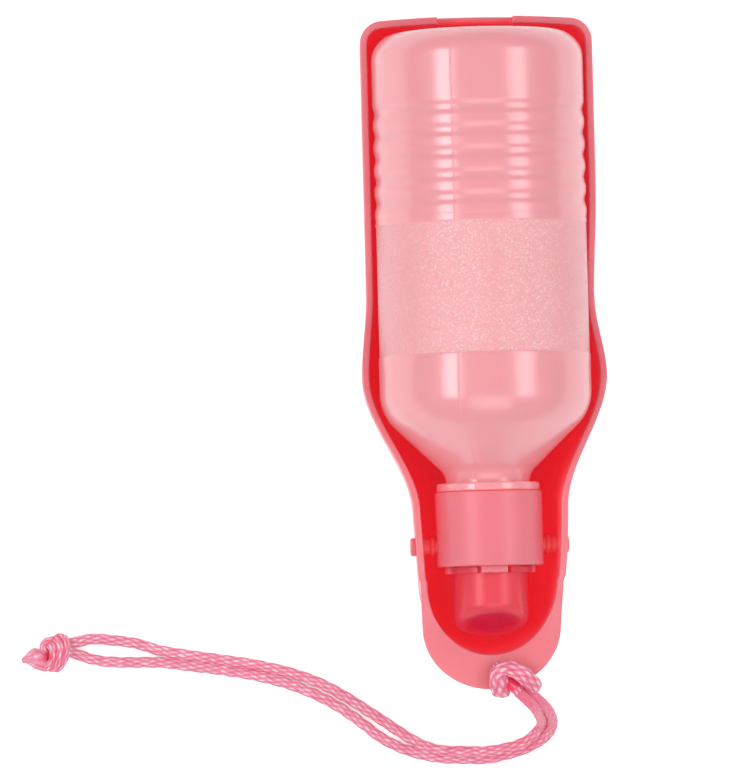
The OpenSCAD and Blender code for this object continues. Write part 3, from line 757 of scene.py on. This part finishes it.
# where the cord runs in the end knot: two strands through its heart, three turns over them and a lobe at the back
KNOT_HEART = [
    [(-115.5, 17.2, 1.5), (-117.9, 16.6, 1.7), (-119.7, 16.4, 2.6), (-121.5, 15.9, 3.2), (-123.9, 14.8, 3.6),
     (-126.2, 13.1, 3.4), (-128, 12.3, 3)],
    [(-115.5, 12.4, 1.5), (-117.9, 13.2, 1.7), (-119.8, 14.1, 2.4), (-121.5, 14.1, 2.6), (-123.9, 13.3, 2.8),
     (-126.2, 11.9, 2.8), (-128, 11.4, 2.6)]]
KNOT_TURNS = [
    [(-123.4, 17.4, 1.9), (-122.9, 18.4, 3), (-121.8, 18.3, 5.2), (-121.2, 17, 6.6), (-121.2, 15, 7),
     (-121.6, 12.7, 6.9), (-122.5, 10.7, 5.8), (-123.6, 9.4, 3.8), (-124.5, 9.6, 2.2)],
    [(-125, 16.8, 2.2), (-124.7, 17.7, 3.6), (-123.7, 17.3, 6.4), (-123, 15.9, 7.4), (-123, 13.8, 7.6),
     (-123.6, 11.5, 7), (-124.5, 9.8, 5.2), (-125.4, 9.6, 3), (-125.2, 10.6, 1.9)],
    [(-126.6, 15.4, 3.2), (-126.2, 16.3, 5), (-125.2, 15.9, 6.8), (-124.7, 14.5, 7.4), (-124.8, 12.4, 7.2),
     (-125.5, 10.7, 5.8), (-126.5, 9.9, 3.6), (-126.3, 10.8, 2.2)],
    [(-122.6, 17.2, 3.6), (-123.6, 17.6, 4.6), (-125.4, 17.4, 5.8), (-126.8, 17.1, 5.6), (-127.5, 16, 5.2),
     (-127.1, 14.7, 4.6), (-126.2, 13.7, 3.6)]]
KNOT_MIDDLE = (-125.0, 13.5, 3.2)
KNOT_PIT_SHADE_SPOT = (-126.5, 13.0)   # the hollow where the tail comes out, darkened with painted shade
HEART_R, TURN_R, TURN_WIDE = 1.4, 1.2, 1.12
# x, y, z, half width and half height along the frayed tail
TAIL = [(-126.53, 11.66, 3.2, 2.9, 2.3), (-127.97, 11.9, 3.1, 3.1, 2.5), (-129.11, 12.22, 2.9, 3.2, 2.4),
        (-130.25, 12.42, 2.6, 3.0, 2.2), (-131.1, 12.65, 2.2, 2.3, 1.8), (-131.95, 12.62, 1.8, 1.7, 1.4),
        (-132.66, 12.32, 1.5, 1.2, 1.1), (-133.24, 12.05, 1.3, 0.95, 1.0), (-133.67, 12.03, 1.2, 0.6, 0.7),
        (-133.87, 12.04, 1.2, 0.15, 0.2)]
TAIL_SIDES, TAIL_STEPS = 96, 90


def make_tail():
    """The cut ends, pressed flat and frayed, lying out of the knot to the left."""
    spine = np.array(TAIL)
    reach = reach_along(spine[:, :3])
    at = 1 - (1 - np.linspace(0, 1, TAIL_STEPS + 1)) ** 1.6
    rows = np.stack([np.interp(at * reach[-1], reach, spine[:, c]) for c in range(5)], 1)
    padded = np.vstack([rows[:1]] * 4 + [rows] + [rows[-1:]] * 4)
    rows = sum(padded[k:k + len(rows)] * w for k, w in enumerate((1, 2, 3, 4, 5, 4, 3, 2, 1))) / 25
    k = np.arange(len(rows))[:, None]
    i = np.arange(TAIL_SIDES)[None]
    a = 2 * pi * i / TAIL_SIDES
    x, y, z, wide, high = (rows[:, [c]] for c in range(5))
    fibres = np.sin(a * 11 + 2.2 * np.sin(2 * a + k * 0.05) + 1.5 * np.sin(k * 0.09))
    crest = 0.5 + 0.5 * fibres * (0.65 + 0.35 * np.sin(k * 0.21 + i * 0.7))
    grow = 1 + 0.08 * (crest - 0.5) + 0.05 * np.sin(k * 0.17 + 2.3 * a)
    rings = np.stack([x + 0 * a, LIP_Y + y + wide * grow * np.cos(a), z + high * grow * np.sin(a)], 2) * MM
    from_pit = np.hypot(x - KNOT_PIT_SHADE_SPOT[0], y + wide * np.cos(a) - KNOT_PIT_SHADE_SPOT[1])
    # painted highlights on the fibres' crests and painted shade and glow near the knot's pit
    return tube_piece("frayed_tail", rings, 0.12 + 0.8 * crest, 0.8 * (1 - ease((from_pit - 0.6) / 1.9)))


def make_end_knot():
    """Both ends wound round the doubled cord and drawn tight; painted shade darkens each turn where it lies on the
    next, and the pit where the tail comes out.
    """
    middle = (np.array(KNOT_MIDDLE) + [0, LIP_Y, 0]) * MM
    drawn = []
    routes = [(r, HEART_R, 1.0) for r in KNOT_HEART] + [(r, TURN_R, TURN_WIDE) for r in KNOT_TURNS]
    for route, radius, wide in routes:
        rings, yarn = braid_rings(through_points(route, 0.3), radius)
        drawn.append((pressed(rings, lambda c: c - middle, np.full(len(rings), wide)), yarn))
    pieces = []
    for i, (rings, yarn) in enumerate(drawn):
        others = np.vstack([r.mean(1)[::2] for k, (r, _) in enumerate(drawn) if k != i])
        gap = np.sqrt(((rings[:, :, None] - others[None, None]) ** 2).sum(3)).min(2) / MM
        # painted shade and glow in the creases between turns and round the pit
        deep = np.maximum(0.75 * (1 - ease((gap - 1.15) / 0.75)),
                          0.9 * (1 - ease((near(rings, KNOT_PIT_SHADE_SPOT) - 0.6) / 1.3)))
        pieces.append(tube_piece(f"turn_{i}", rings, yarn, deep))
    return join("end_knot_turns", pieces + [make_tail()])


end_knot = make_end_knot()
for piece, cad_node in ((strand_1, "cord_strand_1"), (strand_2, "cord_strand_2"), (hitch, "hitch_knot"),
                        (end_knot, "end_knot")):
    if not piece.data.materials:    # a joined piece has none yet
        piece.data.materials.append(cord_fabric)
    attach(piece, "trough")
    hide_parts(cad_node)


# ---------------------------------------------------------------- trough
BODY_HALF = 33.7       # half widths at the rim, round the bottle and at the pins, and what the hips add
NECK_HALF = 21.8
HIP_OUT = 1.8
WAIST_LONG = 39        # from the hips to the ears
TIP_ROUND = 20.9       # how far the scoop of the inner end wall reaches, and the middle it is drawn from
TIP_C_Y = PIN_Y - 31.4 + TIP_ROUND
LIP_START_Y = PIN_Y - 31.4 + 4
LIP_C_Y = LIP_Y + 18
LIP_DEEP = 2.0
END_ROUND = 6          # corner radius, bow and lean of the end wall
END_BOW = 1.5
SIDE_END_Y = END_Y - END_ROUND - END_BOW - 3
EDGE = 0.5             # rounding of the rim
FOOT_ROUND = 8
NOTCH_HALF, NOTCH_DEEP = 11.0, 5.5
NOTCH_FOOT, NOTCH_FOOT_ROUND = 10.96, 0.8
SIDE_LEAN, TIP_LEAN, END_LEAN = 5, 8, 1.5
TIP_STEPS, SIDE_STEPS, CORNER_STEPS = 40, 120, 9
END_XS = [24, 20, 16, 13, 12, 11.5, 11.4, 11.25, 11.1, 11.0, 10.96, 10.8, 10.6, 10.3, 10.16, 9, 7, 5, 2.5, 0]


def trough_half(y):
    return (BODY_HALF + HIP_OUT * ease((HIP_Y + 25 - y) / 25)
            - (BODY_HALF + HIP_OUT - NECK_HALF) * ease((HIP_Y - y) / WAIST_LONG)
            - 0.055 * np.maximum(0, HIP_Y - WAIST_LONG - y))


def rim_z(y):
    """Height of the rim: a dip for a finger at each side, up over the ears and down to the lip."""
    dip_y = HIP_Y + 20
    t = np.where(y > dip_y, (y - dip_y) / 36, (dip_y - y) / 21)
    dip = np.where(t < 1, (1 + np.cos(pi * np.minimum(t, 1))) / 2, 0)
    return (AXIS_Z - 6.6 * dip + 7.5 * ease((HIP_Y - 1 - y) / 46)
            - 6.5 * ease((PIN_Y - y) / (PIN_Y - LIP_START_Y)) - 0.07 * np.maximum(0, LIP_START_Y - y))


def notch_drop(x):
    """How far the rim drops in the finger notch of the end wall, with rounded corners."""
    x = np.abs(x)
    top_x, low_x = NOTCH_HALF + EDGE, NOTCH_FOOT - NOTCH_FOOT_ROUND
    top = EDGE * (1 - np.sqrt(np.clip(1 - ((top_x - x) / EDGE) ** 2, 0, 1)))
    low = NOTCH_DEEP - NOTCH_FOOT_ROUND * (1 - np.sqrt(np.clip(1 - ((x - low_x) / NOTCH_FOOT_ROUND) ** 2, 0, 1)))
    side = mix(EDGE, NOTCH_DEEP - NOTCH_FOOT_ROUND, (NOTCH_HALF - x) / (NOTCH_HALF - NOTCH_FOOT))
    return np.select([x > top_x, x > NOTCH_HALF, x > NOTCH_FOOT, x > low_x], [0, top, side, low], NOTCH_DEEP)


def lean(z, angle):
    return (AXIS_Z - z) * tan(radians(angle))


def side_lean(z):
    """The side walls lean down to their foot, where the rounded bottom edge takes over."""
    return lean(np.maximum(z, FOOT_Z), SIDE_LEAN)


# Each ring is drawn as its right half, from the tip round the side to the end wall, and then mirrored.
def tip_points(z, in_x, share):
    a = np.linspace(0, pi / 2, TIP_STEPS + 1)
    half = (trough_half(TIP_C_Y) - in_x - side_lean(z)) * share
    b = (TIP_ROUND + WALL - in_x - lean(z, TIP_LEAN)) * share
    return np.stack([half * np.sin(a), TIP_C_Y - b * np.cos(a)], 1)


def lip_points(in_x):
    t = np.linspace(0, 1, TIP_STEPS + 1)
    bend = 0.7    # the share of the points that goes round the lip; the rest runs back along its sides
    a = np.minimum(pi / 2, pi / 2 * t / bend)
    y = np.where(t < bend, LIP_C_Y - (LIP_C_Y - LIP_Y - in_x) * np.cos(a),
                 mix(LIP_C_Y, TIP_C_Y, (t - bend) / (1 - bend)))
    return np.stack([(trough_half(np.maximum(y, LIP_C_Y)) - in_x) * np.sin(a), y], 1)


def side_points(z_of, in_x, share, in_end):
    t = np.arange(1, SIDE_STEPS + 1) / SIDE_STEPS
    y = mix(TIP_C_Y, SIDE_END_Y, t)
    half = (trough_half(y) - in_x - side_lean(z_of(y))) * share
    return np.stack([half, y - in_end * t], 1)


def end_points(z, in_x, share, in_end):
    half = (trough_half(END_Y) - in_x - side_lean(z)) * share
    y_end = END_Y - in_x - lean(z, END_LEAN) - in_end
    r = max(1.0, END_ROUND - in_x)
    a = np.linspace(0, pi / 2, CORNER_STEPS + 1)
    corner_x = half - r + r * np.cos(a)
    corner = np.stack([corner_x, y_end - r + r * np.sin(a) - END_BOW * (corner_x / half) ** 2], 1)
    xs = np.array(END_XS) * min(1.0, (half - r - 0.3) / END_XS[0])
    return np.vstack([corner, np.stack([xs, y_end - END_BOW * (xs / half) ** 2], 1)])


def mirrored(half):
    left = half[-2:0:-1].copy()
    left[:, 0] *= -1
    return np.vstack([half, left])


def wall_height(z_share, y, top_in):
    return mix(FOOT_Z, rim_z(y) - top_in, z_share)


def raised(points, z_share, top_in):
    """Gives an outline its heights; across the end wall the rim follows the finger notch."""
    z = wall_height(z_share, points[:, 1], top_in)
    first_end = TIP_STEPS + 1 + SIDE_STEPS + CORNER_STEPS + 1
    drop = np.zeros(len(points))
    drop[first_end:] = notch_drop(points[first_end:, 0])
    return mirrored(np.column_stack([points, z - drop * z_share]))


def wall_ring(z_share, in_x, top_in):
    """A ring round the walls: in_x in from their outside, at a share of their height, top_in below the rim."""
    tip = tip_points(wall_height(z_share, LIP_START_Y, top_in), in_x, 1)
    side = side_points(lambda y: wall_height(z_share, y, top_in), in_x, 1, 0)
    end = end_points(wall_height(z_share, END_Y, top_in), in_x, 1, 0)
    return raised(np.vstack([tip, side, end]), z_share, top_in)


def lip_ring(in_x, top_in):
    """As wall_ring at the rim, but round the outside of the lip."""
    side = side_points(lambda y: wall_height(1, y, top_in), in_x, 1, 0)
    end = end_points(wall_height(1, END_Y, top_in), in_x, 1, 0)
    return raised(np.vstack([lip_points(in_x), side, end]), 1, top_in)


def floor_ring(angle, in_x, z_floor):
    """A ring of the rounded bottom edge, from 0 degrees at the wall's foot to 90 in the floor."""
    a = radians(angle)
    z = z_floor + (FOOT_Z - z_floor) * (1 - sin(a))
    share = 1 - 0.6 * (1 - cos(a))
    end_t = min(1.0, max(0.0, (FOOT_ROUND - (z - z_floor)) / FOOT_ROUND))
    in_end = FOOT_ROUND * (1 - sqrt(1 - end_t ** 2))
    flat = np.vstack([tip_points(z, in_x, share), side_points(lambda y: z, in_x, share, in_end),
                      end_points(z, in_x, share, in_end)])
    return mirrored(np.column_stack([flat, np.full(len(flat), z)]))


def floor_faces(first, n):
    """Closes a floor ring across, from side to side."""
    for i in range(n // 2):
        face = (first + i, first + i + 1, first + (n - i - 1) % n, first + (n - i) % n)
        yield tuple(dict.fromkeys(face))


def make_trough():
    arc = [radians(a) for a in (0, 22.5, 45, 67.5, 90)]
    rings = [floor_ring(a, WALL, WALL) for a in np.linspace(90, 0, 17)]
    rings += [wall_ring(share, WALL, 0) for share in (0.25, 0.5, 0.75, 0.9)]
    rings += [wall_ring(1, WALL - EDGE * (1 - cos(a)), EDGE * (1 - sin(a))) for a in arc]
    rings += [lip_ring(EDGE * (1 - sin(a)), EDGE * (1 - cos(a))) for a in arc]
    rings += [lip_ring(0, 1.2), lip_ring(0, LIP_DEEP), wall_ring(1, 0, LIP_DEEP + EDGE)]
    rings += [wall_ring(share, 0, 0) for share in (0.72, 0.45, 0.22)]
    rings += [floor_ring(a, 0, 0) for a in np.linspace(0, 90, 17)]
    n = len(rings[0])
    faces = ring_faces(len(rings), n) + [*floor_faces(0, n), *floor_faces((len(rings) - 1) * n, n)]
    piece = outward(add_object("trough_shell", np.vstack(rings), faces))
    for side in (-1, 1):
        cut(piece, bar("bore", (side * 22, PIN_Y, AXIS_Z), (1, 0, 0), PIN_R + 0.06, 9))
    cut(piece, bar("cord_hole", HOLE_AT, (0, 0, 1), 2.75, 14))
    # painted shade and a painted red glow on the inner walls, deeper below the rim
    mark(piece, "painted_glow_and_shade", painted_shade_below_rim(piece))
    return smooth(piece, 40)


def painted_shade_below_rim(piece):
    """Mask for painted shade and glow: how deep below the rim a place of the inner wall lies, 0 on the rim and
    outside, 1 deep inside.
    """
    spots = places(piece)
    normal = np.empty(spots.size)
    piece.data.vertex_normals.foreach_get("vector", normal)
    centre_y = np.clip(spots[:, 1], TIP_C_Y, END_Y - 25)
    towards = np.stack([-spots[:, 0], centre_y - spots[:, 1], np.maximum(0, AXIS_Z - spots[:, 2])], 1)
    towards /= np.linalg.norm(towards, axis=1)[:, None] + 1e-9
    facing_in = (towards * normal.reshape(-1, 3)).sum(1) > 0.15
    return np.where(facing_in, ease((rim_z(spots[:, 1]) - spots[:, 2] - 0.4) / 5.0), 0.0)


def bar(name, centre, axis, radius, length, sides=72):
    """A round bar, for cutting holes."""
    bm = bmesh.new()
    turn = Vector((0, 0, 1)).rotation_difference(Vector(axis)).to_matrix().to_4x4()
    place = Matrix.Translation(Vector(centre) * MM) @ turn
    bmesh.ops.create_cone(bm, cap_ends=True, segments=sides, radius1=radius * MM, radius2=radius * MM,
                          depth=length * MM, matrix=place)
    mesh = bpy.data.meshes.new(name)
    bm.to_mesh(mesh)
    bm.free()
    piece = bpy.data.objects.new(name, mesh)
    scene.collection.objects.link(piece)
    return piece


trough = make_trough()
trough.data.materials.clear()
trough.data.materials.append(trough_plastic)
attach(trough, "trough")
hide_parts("trough")

# ---------------------------------------------------------------- bottle
PARTING = radians(-20.5)     # where the mould's parting line runs, from straight up
RIB_PITCH, RIBS, RIB_STEPS = 6.45, 5, 20
RIB_DEEP = 0.55
RIB_TOP_Y = BASE_Y - 20
PANEL_TOP_Y = RIB_TOP_Y - (RIBS + 0.5) * RIB_PITCH
PANEL_R = 30.25
BAND_Y = SHOULDER_Y + 10.2   # where the grip panel ends and the smooth band above the shoulder begins
BASE_R, BASE_ROUND = 22.5, 8
RECESS_Y = 89.8
INSIDE_R = 28.9


def shoulder_curve(add):
    """Two arcs and the cone that touches both, from the throat to the full diameter."""
    r1, r2 = 5.9, 14.0
    c1, c2 = NECK_R + r1, BOTTLE_R - r2
    rise = SHOULDER_Y - THROAT_Y
    cone = np.arcsin((r1 + r2) / np.hypot(c1 - c2, rise)) - np.arctan2(c1 - c2, rise)
    a = np.linspace(pi, pi - cone, 18)
    b = np.linspace(-cone, 0, 28)
    return ([(c1 + (r1 - add) * cos(t), THROAT_Y + (r1 - add) * sin(t)) for t in a]
            + [(c2 + (r2 + add) * cos(t), SHOULDER_Y + (r2 + add) * sin(t)) for t in b])


def bottle_profile():
    """Outside from mouth to base, then inside from base to mouth, as (radius, y)."""
    outer = [(10.9, MOUTH_Y), (NECK_R - 0.3, MOUTH_Y), (NECK_R, MOUTH_Y + 0.3), (NECK_R, -40.2)]
    outer += [(14.4, -40.2), (14.7, -40.05), (14.8, -39.7), (14.8, -38.3), (14.7, -37.95), (14.4, -37.8)]    # bead
    outer += shoulder_curve(0)
    outer += [(BOTTLE_R, y) for y in (-9.5, -7.5, -5.5, -4, -2.6, BAND_Y - 0.1)]
    outer += [(30.44, BAND_Y + 0.1), (30.27, BAND_Y + 0.35), (PANEL_R, BAND_Y + 0.6)]
    outer += [(PANEL_R, y) for y in np.linspace(BAND_Y + 3, PANEL_TOP_Y - 0.6, 9)]
    outer += [(30.27, PANEL_TOP_Y - 0.3), (30.4, PANEL_TOP_Y - 0.1), (30.48, PANEL_TOP_Y + 0.15)]
    for i in range(5, RIBS * RIB_STEPS + 11):
        y = PANEL_TOP_Y + i * RIB_PITCH / RIB_STEPS
        wave = (1 - cos(2 * pi * (RIB_TOP_Y - y) / RIB_PITCH)) / 2
        outer.append((BOTTLE_R - RIB_DEEP * wave ** 1.4, y))
    outer += [(BOTTLE_R, y) for y in (73.5, 76, 79, 82)]
    a = np.linspace(0, pi / 2, 22)
    outer += [(BASE_R + BASE_ROUND * cos(t), BASE_Y - BASE_ROUND + BASE_ROUND * sin(t)) for t in a]
    outer += [(20.8, BASE_Y), (20.2, 92.05), (19.8, 91.7), (18.6, 90.3), (18.2, 89.95), (17.6, RECESS_Y)]
    outer += [(r, RECESS_Y) for r in (14, 10, 6, 3, 1.2, 0)]
    inner = [(17.6, 88.6), (20, 90.9)]
    inner += [(BASE_R + 6.4 * cos(t), BASE_Y - BASE_ROUND + 6.9 * sin(t)) for t in a[::-3]]
    inner += [(INSIDE_R, y) for y in (60, 30, 0)]
    inner += [(min(INSIDE_R, r), y) for r, y in shoulder_curve(-1.1)[::-3]]
    return outer + inner + [(10.9, -38), (10.9, MOUTH_Y + 0.01)]


def make_bottle():
    even = [2 * pi * k / 240 for k in range(240)]
    seams = [(PARTING + turn + radians(d)) % (2 * pi) for turn in (0, pi)
             for d in (-0.75, -0.5, -0.3, -0.12, 0, 0.12, 0.3, 0.5, 0.75)]
    angles = sorted(set(round(a, 5) for a in even + seams))

    def seam(r, a, y):
        """The parting line, a fine ridge on both sides."""
        off = min(abs((a - PARTING - turn + pi) % (2 * pi) - pi) for turn in (0, pi))
        outside = r > NECK_R - 0.05 and y > -41 and (r > 21 or y < 60)
        return 0.06 * max(0.0, 1 - (off * r / 0.26) ** 2) if outside else 0.0

    def pinch(r, a, y):
        """The weld across the base."""
        in_recess = 89 < y < 90.2 and r < 14.5
        return 0.5 * max(0.0, 1 - (r * sin(a - PARTING) / 0.7) ** 2) if in_recess else 0.0

    return smooth(turned("squeeze_bottle", bottle_profile(), angles, y_shift=pinch, r_shift=seam), 50)


bottle = make_bottle()
bottle.data.materials.append(bottle_plastic)
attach(bottle, "bottle")
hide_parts("bottle")


# ---------------------------------------------------------------- collar, with its pins and lugs
def make_pin(side):
    """A snap pin with its stop disc, from the collar out through the trough's wall."""
    end_x = float(trough_half(PIN_Y)) + PIN_PROUD
    disc_r = PIN_R + 0.7
    steps = rounded([(0, 14.0, 0), (PIN_R, 14.0, 0), (PIN_R, 16.2, 0.1), (disc_r, 16.2, 0.2), (disc_r, 17.3, 0.2),
                     (PIN_R, 17.3, 0.1), (PIN_R, end_x, 0.6), (0, end_x, 0)], 0.2, 4)
    sides = 64
    around = [2 * pi * k / sides for k in range(sides)]
    points = [(side * x, PIN_Y + r * cos(a), AXIS_Z + r * sin(a)) for r, x in steps for a in around]
    return outward(add_object(f"pin_{side}", points, ring_faces(len(steps), sides)))


def make_collar():
    ring = turned("ring", rounded([
        (9.86, FRONT_Y, 0.3), (COLLAR_R, FRONT_Y, 0.6), (COLLAR_R, BACK_Y, 0.45), (COLLAR_IN_R, BACK_Y, 0.4),
        (COLLAR_IN_R, FRONT_Y + 2, 0.3), (9.86, FRONT_Y + 2, 0.2)], 0.3, 5), 240)
    lugs = [sector(f"lug_{mid}", mid, 34, 10.6, 13.0, FRONT_Y - 2, FRONT_Y + 0.5, 0.3) for mid in (0, 90, 180, 270)]
    piece = smooth(join("screw_collar", [ring, *lugs, make_pin(-1), make_pin(1)]), 40)
    x, y, z = places(piece).T
    # painted shade and glow on the pins inside the trough, on the collar's lower part and on its back face
    pin_painted_shade = ease((abs(x) - COLLAR_R - 0.1) / 0.3) * (abs(x) < float(trough_half(PIN_Y)) - 1.0)
    low_painted_shade = 0.35 * ease((AXIS_Z + 9 - z) / 14)
    back_painted_shade = ease((y - BACK_Y + 0.3) / 0.3) * (np.hypot(x, z - AXIS_Z) < COLLAR_R - 0.3)
    mark(piece, "painted_glow_and_shade", np.maximum(np.maximum(pin_painted_shade, low_painted_shade), back_painted_shade))
    return piece


collar = make_collar()
collar.data.materials.append(collar_plastic)
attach(collar, "collar")
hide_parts("hinge_collar")


# ---------------------------------------------------------------- spout and washer
def make_spout():
    bore_r, tip_r, seat_r, flange_r = 2.0, 6.5, 9.49, 13.25
    tip_y, step_y, flange_y = FRONT_Y - 11.6, FRONT_Y - 3.2, FRONT_Y + 2
    back_y = FRONT_Y + 3.28
    return smooth(turned("nozzle", rounded([
        (bore_r, tip_y, 0.3), (tip_r, tip_y, 1.0), (tip_r, step_y, 0.3), (seat_r, step_y, 0.5),
        (seat_r, flange_y, 0), (flange_r, flange_y, 0), (flange_r, back_y, 0), (bore_r, back_y, 0)], 0.3, 5), 160), 40)


spout = make_spout()
spout.data.materials.append(spout_plastic)
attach(spout, "collar")
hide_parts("spout")

washer_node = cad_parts["seal_washer"]
washer_node.data.materials.clear()
washer_node.data.materials.append(seal_rubber)

# ---------------------------------------------------------------- clear cap with its slanted end
CAP_R = 10.65
CAP_WALL = 1.1
CAP_END_Y = FRONT_Y - 17
CAP_BACK_Y = FRONT_Y - 0.25
CAP_STRAIGHT = 8.5    # this far from the slanted end and further, the wall runs straight back
SLANT = tan(radians(21))


def cap_profile():
    """Outside and inside as (radius, distance from the slanted end), where None is the cap's back."""
    arc = np.linspace(0, pi / 2, 9)
    in_r = CAP_R - CAP_WALL
    outer = [(CAP_R, None), (CAP_R, CAP_STRAIGHT)]
    outer += [(CAP_R - 2.4 * (1 - cos(t)), 2.4 * (1 - sin(t))) for t in arc]
    outer += [(6.5, 0), (3.9, 0), (3.7, 0.18), (2.2, 0.18), (1.2, 0.18), (0.9, -0.15), (0.5, -0.3), (0, -0.3)]
    inner = [(0, 1.3), (2.0, 1.3), (6, 1.25)]
    inner += [(in_r - 1.5 * (1 - sin(t)), 1.25 + 1.5 * (1 - cos(t))) for t in arc]
    return outer + inner + [(in_r, CAP_STRAIGHT), (in_r, None)]


def make_cap():
    sides = 160
    points, rings, painted_end_shade = [], [], []
    for r, t in cap_profile():
        ring = []
        for k in range(sides if r > 0 else 1):
            a = 2 * pi * k / sides
            x, z = r * sin(a), r * cos(a)
            y = CAP_BACK_Y if t is None else CAP_END_Y + z * SLANT + t
            if t == CAP_STRAIGHT:
                y = mix(y, CAP_BACK_Y, 0.35)
            # painted shade on the slanted end, centred a little above the axis
            on_end = t is not None and t <= 1.5
            painted_end_shade.append(0.85 * (1 - float(ease((np.hypot(x, z - 1.4) - 6.2) / 2.6))) if on_end else 0.0)
            ring.append(len(points))
            points.append((x, y, AXIS_Z + z))
        rings.append(ring)
    shell = add_object("cap_shell", points, skin_faces(rings, closed=True))
    mark(shell, "painted_end_shade", painted_end_shade)
    catches = [sector(f"catch_{mid}", mid, 44, CAP_R - 0.3, 12.5, FRONT_Y - 2, CAP_BACK_Y, 0.2)
               for mid in (45, 135, 225, 315)]
    return smooth(join("clear_cap", [outward(shell), *catches]), 40)


cap = make_cap()
cap.data.materials.append(clear_plastic)
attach(cap, "cap")
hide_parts("outlet_cap")


# ---------------------------------------------------------------- floor and light
def make_floor():
    floor = add_object("floor", [(-4, -4, 0), (4, -4, 0), (4, 4, 0), (-4, 4, 0)], [(0, 1, 2, 3)], False)
    material, tree, shader = new_material("white_paper")
    tree.nodes.remove(shader)
    out = tree.nodes["Material Output"]
    paper = node(tree, "ShaderNodeBsdfDiffuse", (), {"Color": (0.86, 0.86, 0.86, 1)})
    glow = node(tree, "ShaderNodeEmission", (), {"Color": (1, 1, 1, 1), "Strength": 0.55})
    both = node(tree, "ShaderNodeAddShader", (), {0: paper.outputs[0], 1: glow.outputs[0]})
    ray = node(tree, "ShaderNodeLightPath")
    seen = maths(tree, "MAXIMUM", ray.outputs["Is Camera Ray"],
                 maths(tree, "MAXIMUM", ray.outputs["Is Glossy Ray"], ray.outputs["Is Transmission Ray"]))
    choice = node(tree, "ShaderNodeMixShader", (), {0: seen, 1: paper.outputs[0], 2: both.outputs[0]})
    tree.links.new(choice.outputs[0], out.inputs["Surface"])
    floor.data.materials.append(material)
    return floor


def soft_box(name, at, size, power, aim_at=(0, 0.02, 0.03)):
    lamp = bpy.data.lights.new(name, "AREA")
    lamp.shape = "RECTANGLE"
    lamp.size, lamp.size_y = size
    lamp.energy = power
    box = bpy.data.objects.new(name, lamp)
    scene.collection.objects.link(box)
    box.location = at
    look = (Vector(aim_at) - Vector(at)).normalized()
    side = Vector((0, 1, 0)).cross(look).normalized()
    along = look.cross(side)
    box.matrix_world = Matrix.Translation(at) @ Matrix((side, along, -look)).transposed().to_4x4()
    return box


make_floor()
soft_box("left_box", (-0.92, 0.10, 1.05), (0.44, 1.1), 7.4)
soft_box("right_box", (0.80, 0.10, 1.05), (0.46, 1.1), 5.0)
soft_box("top_box", (0.0, -0.9, 1.4), (1.2, 0.9), 4.5, (0, -0.03, 0.03))

world = bpy.data.worlds.new("studio")
scene.world = world
world.use_nodes = True
sky = world.node_tree.nodes["Background"]
sky.inputs["Color"].default_value = (1.0, 0.99, 0.985, 1)
sky.inputs["Strength"].default_value = 0.47
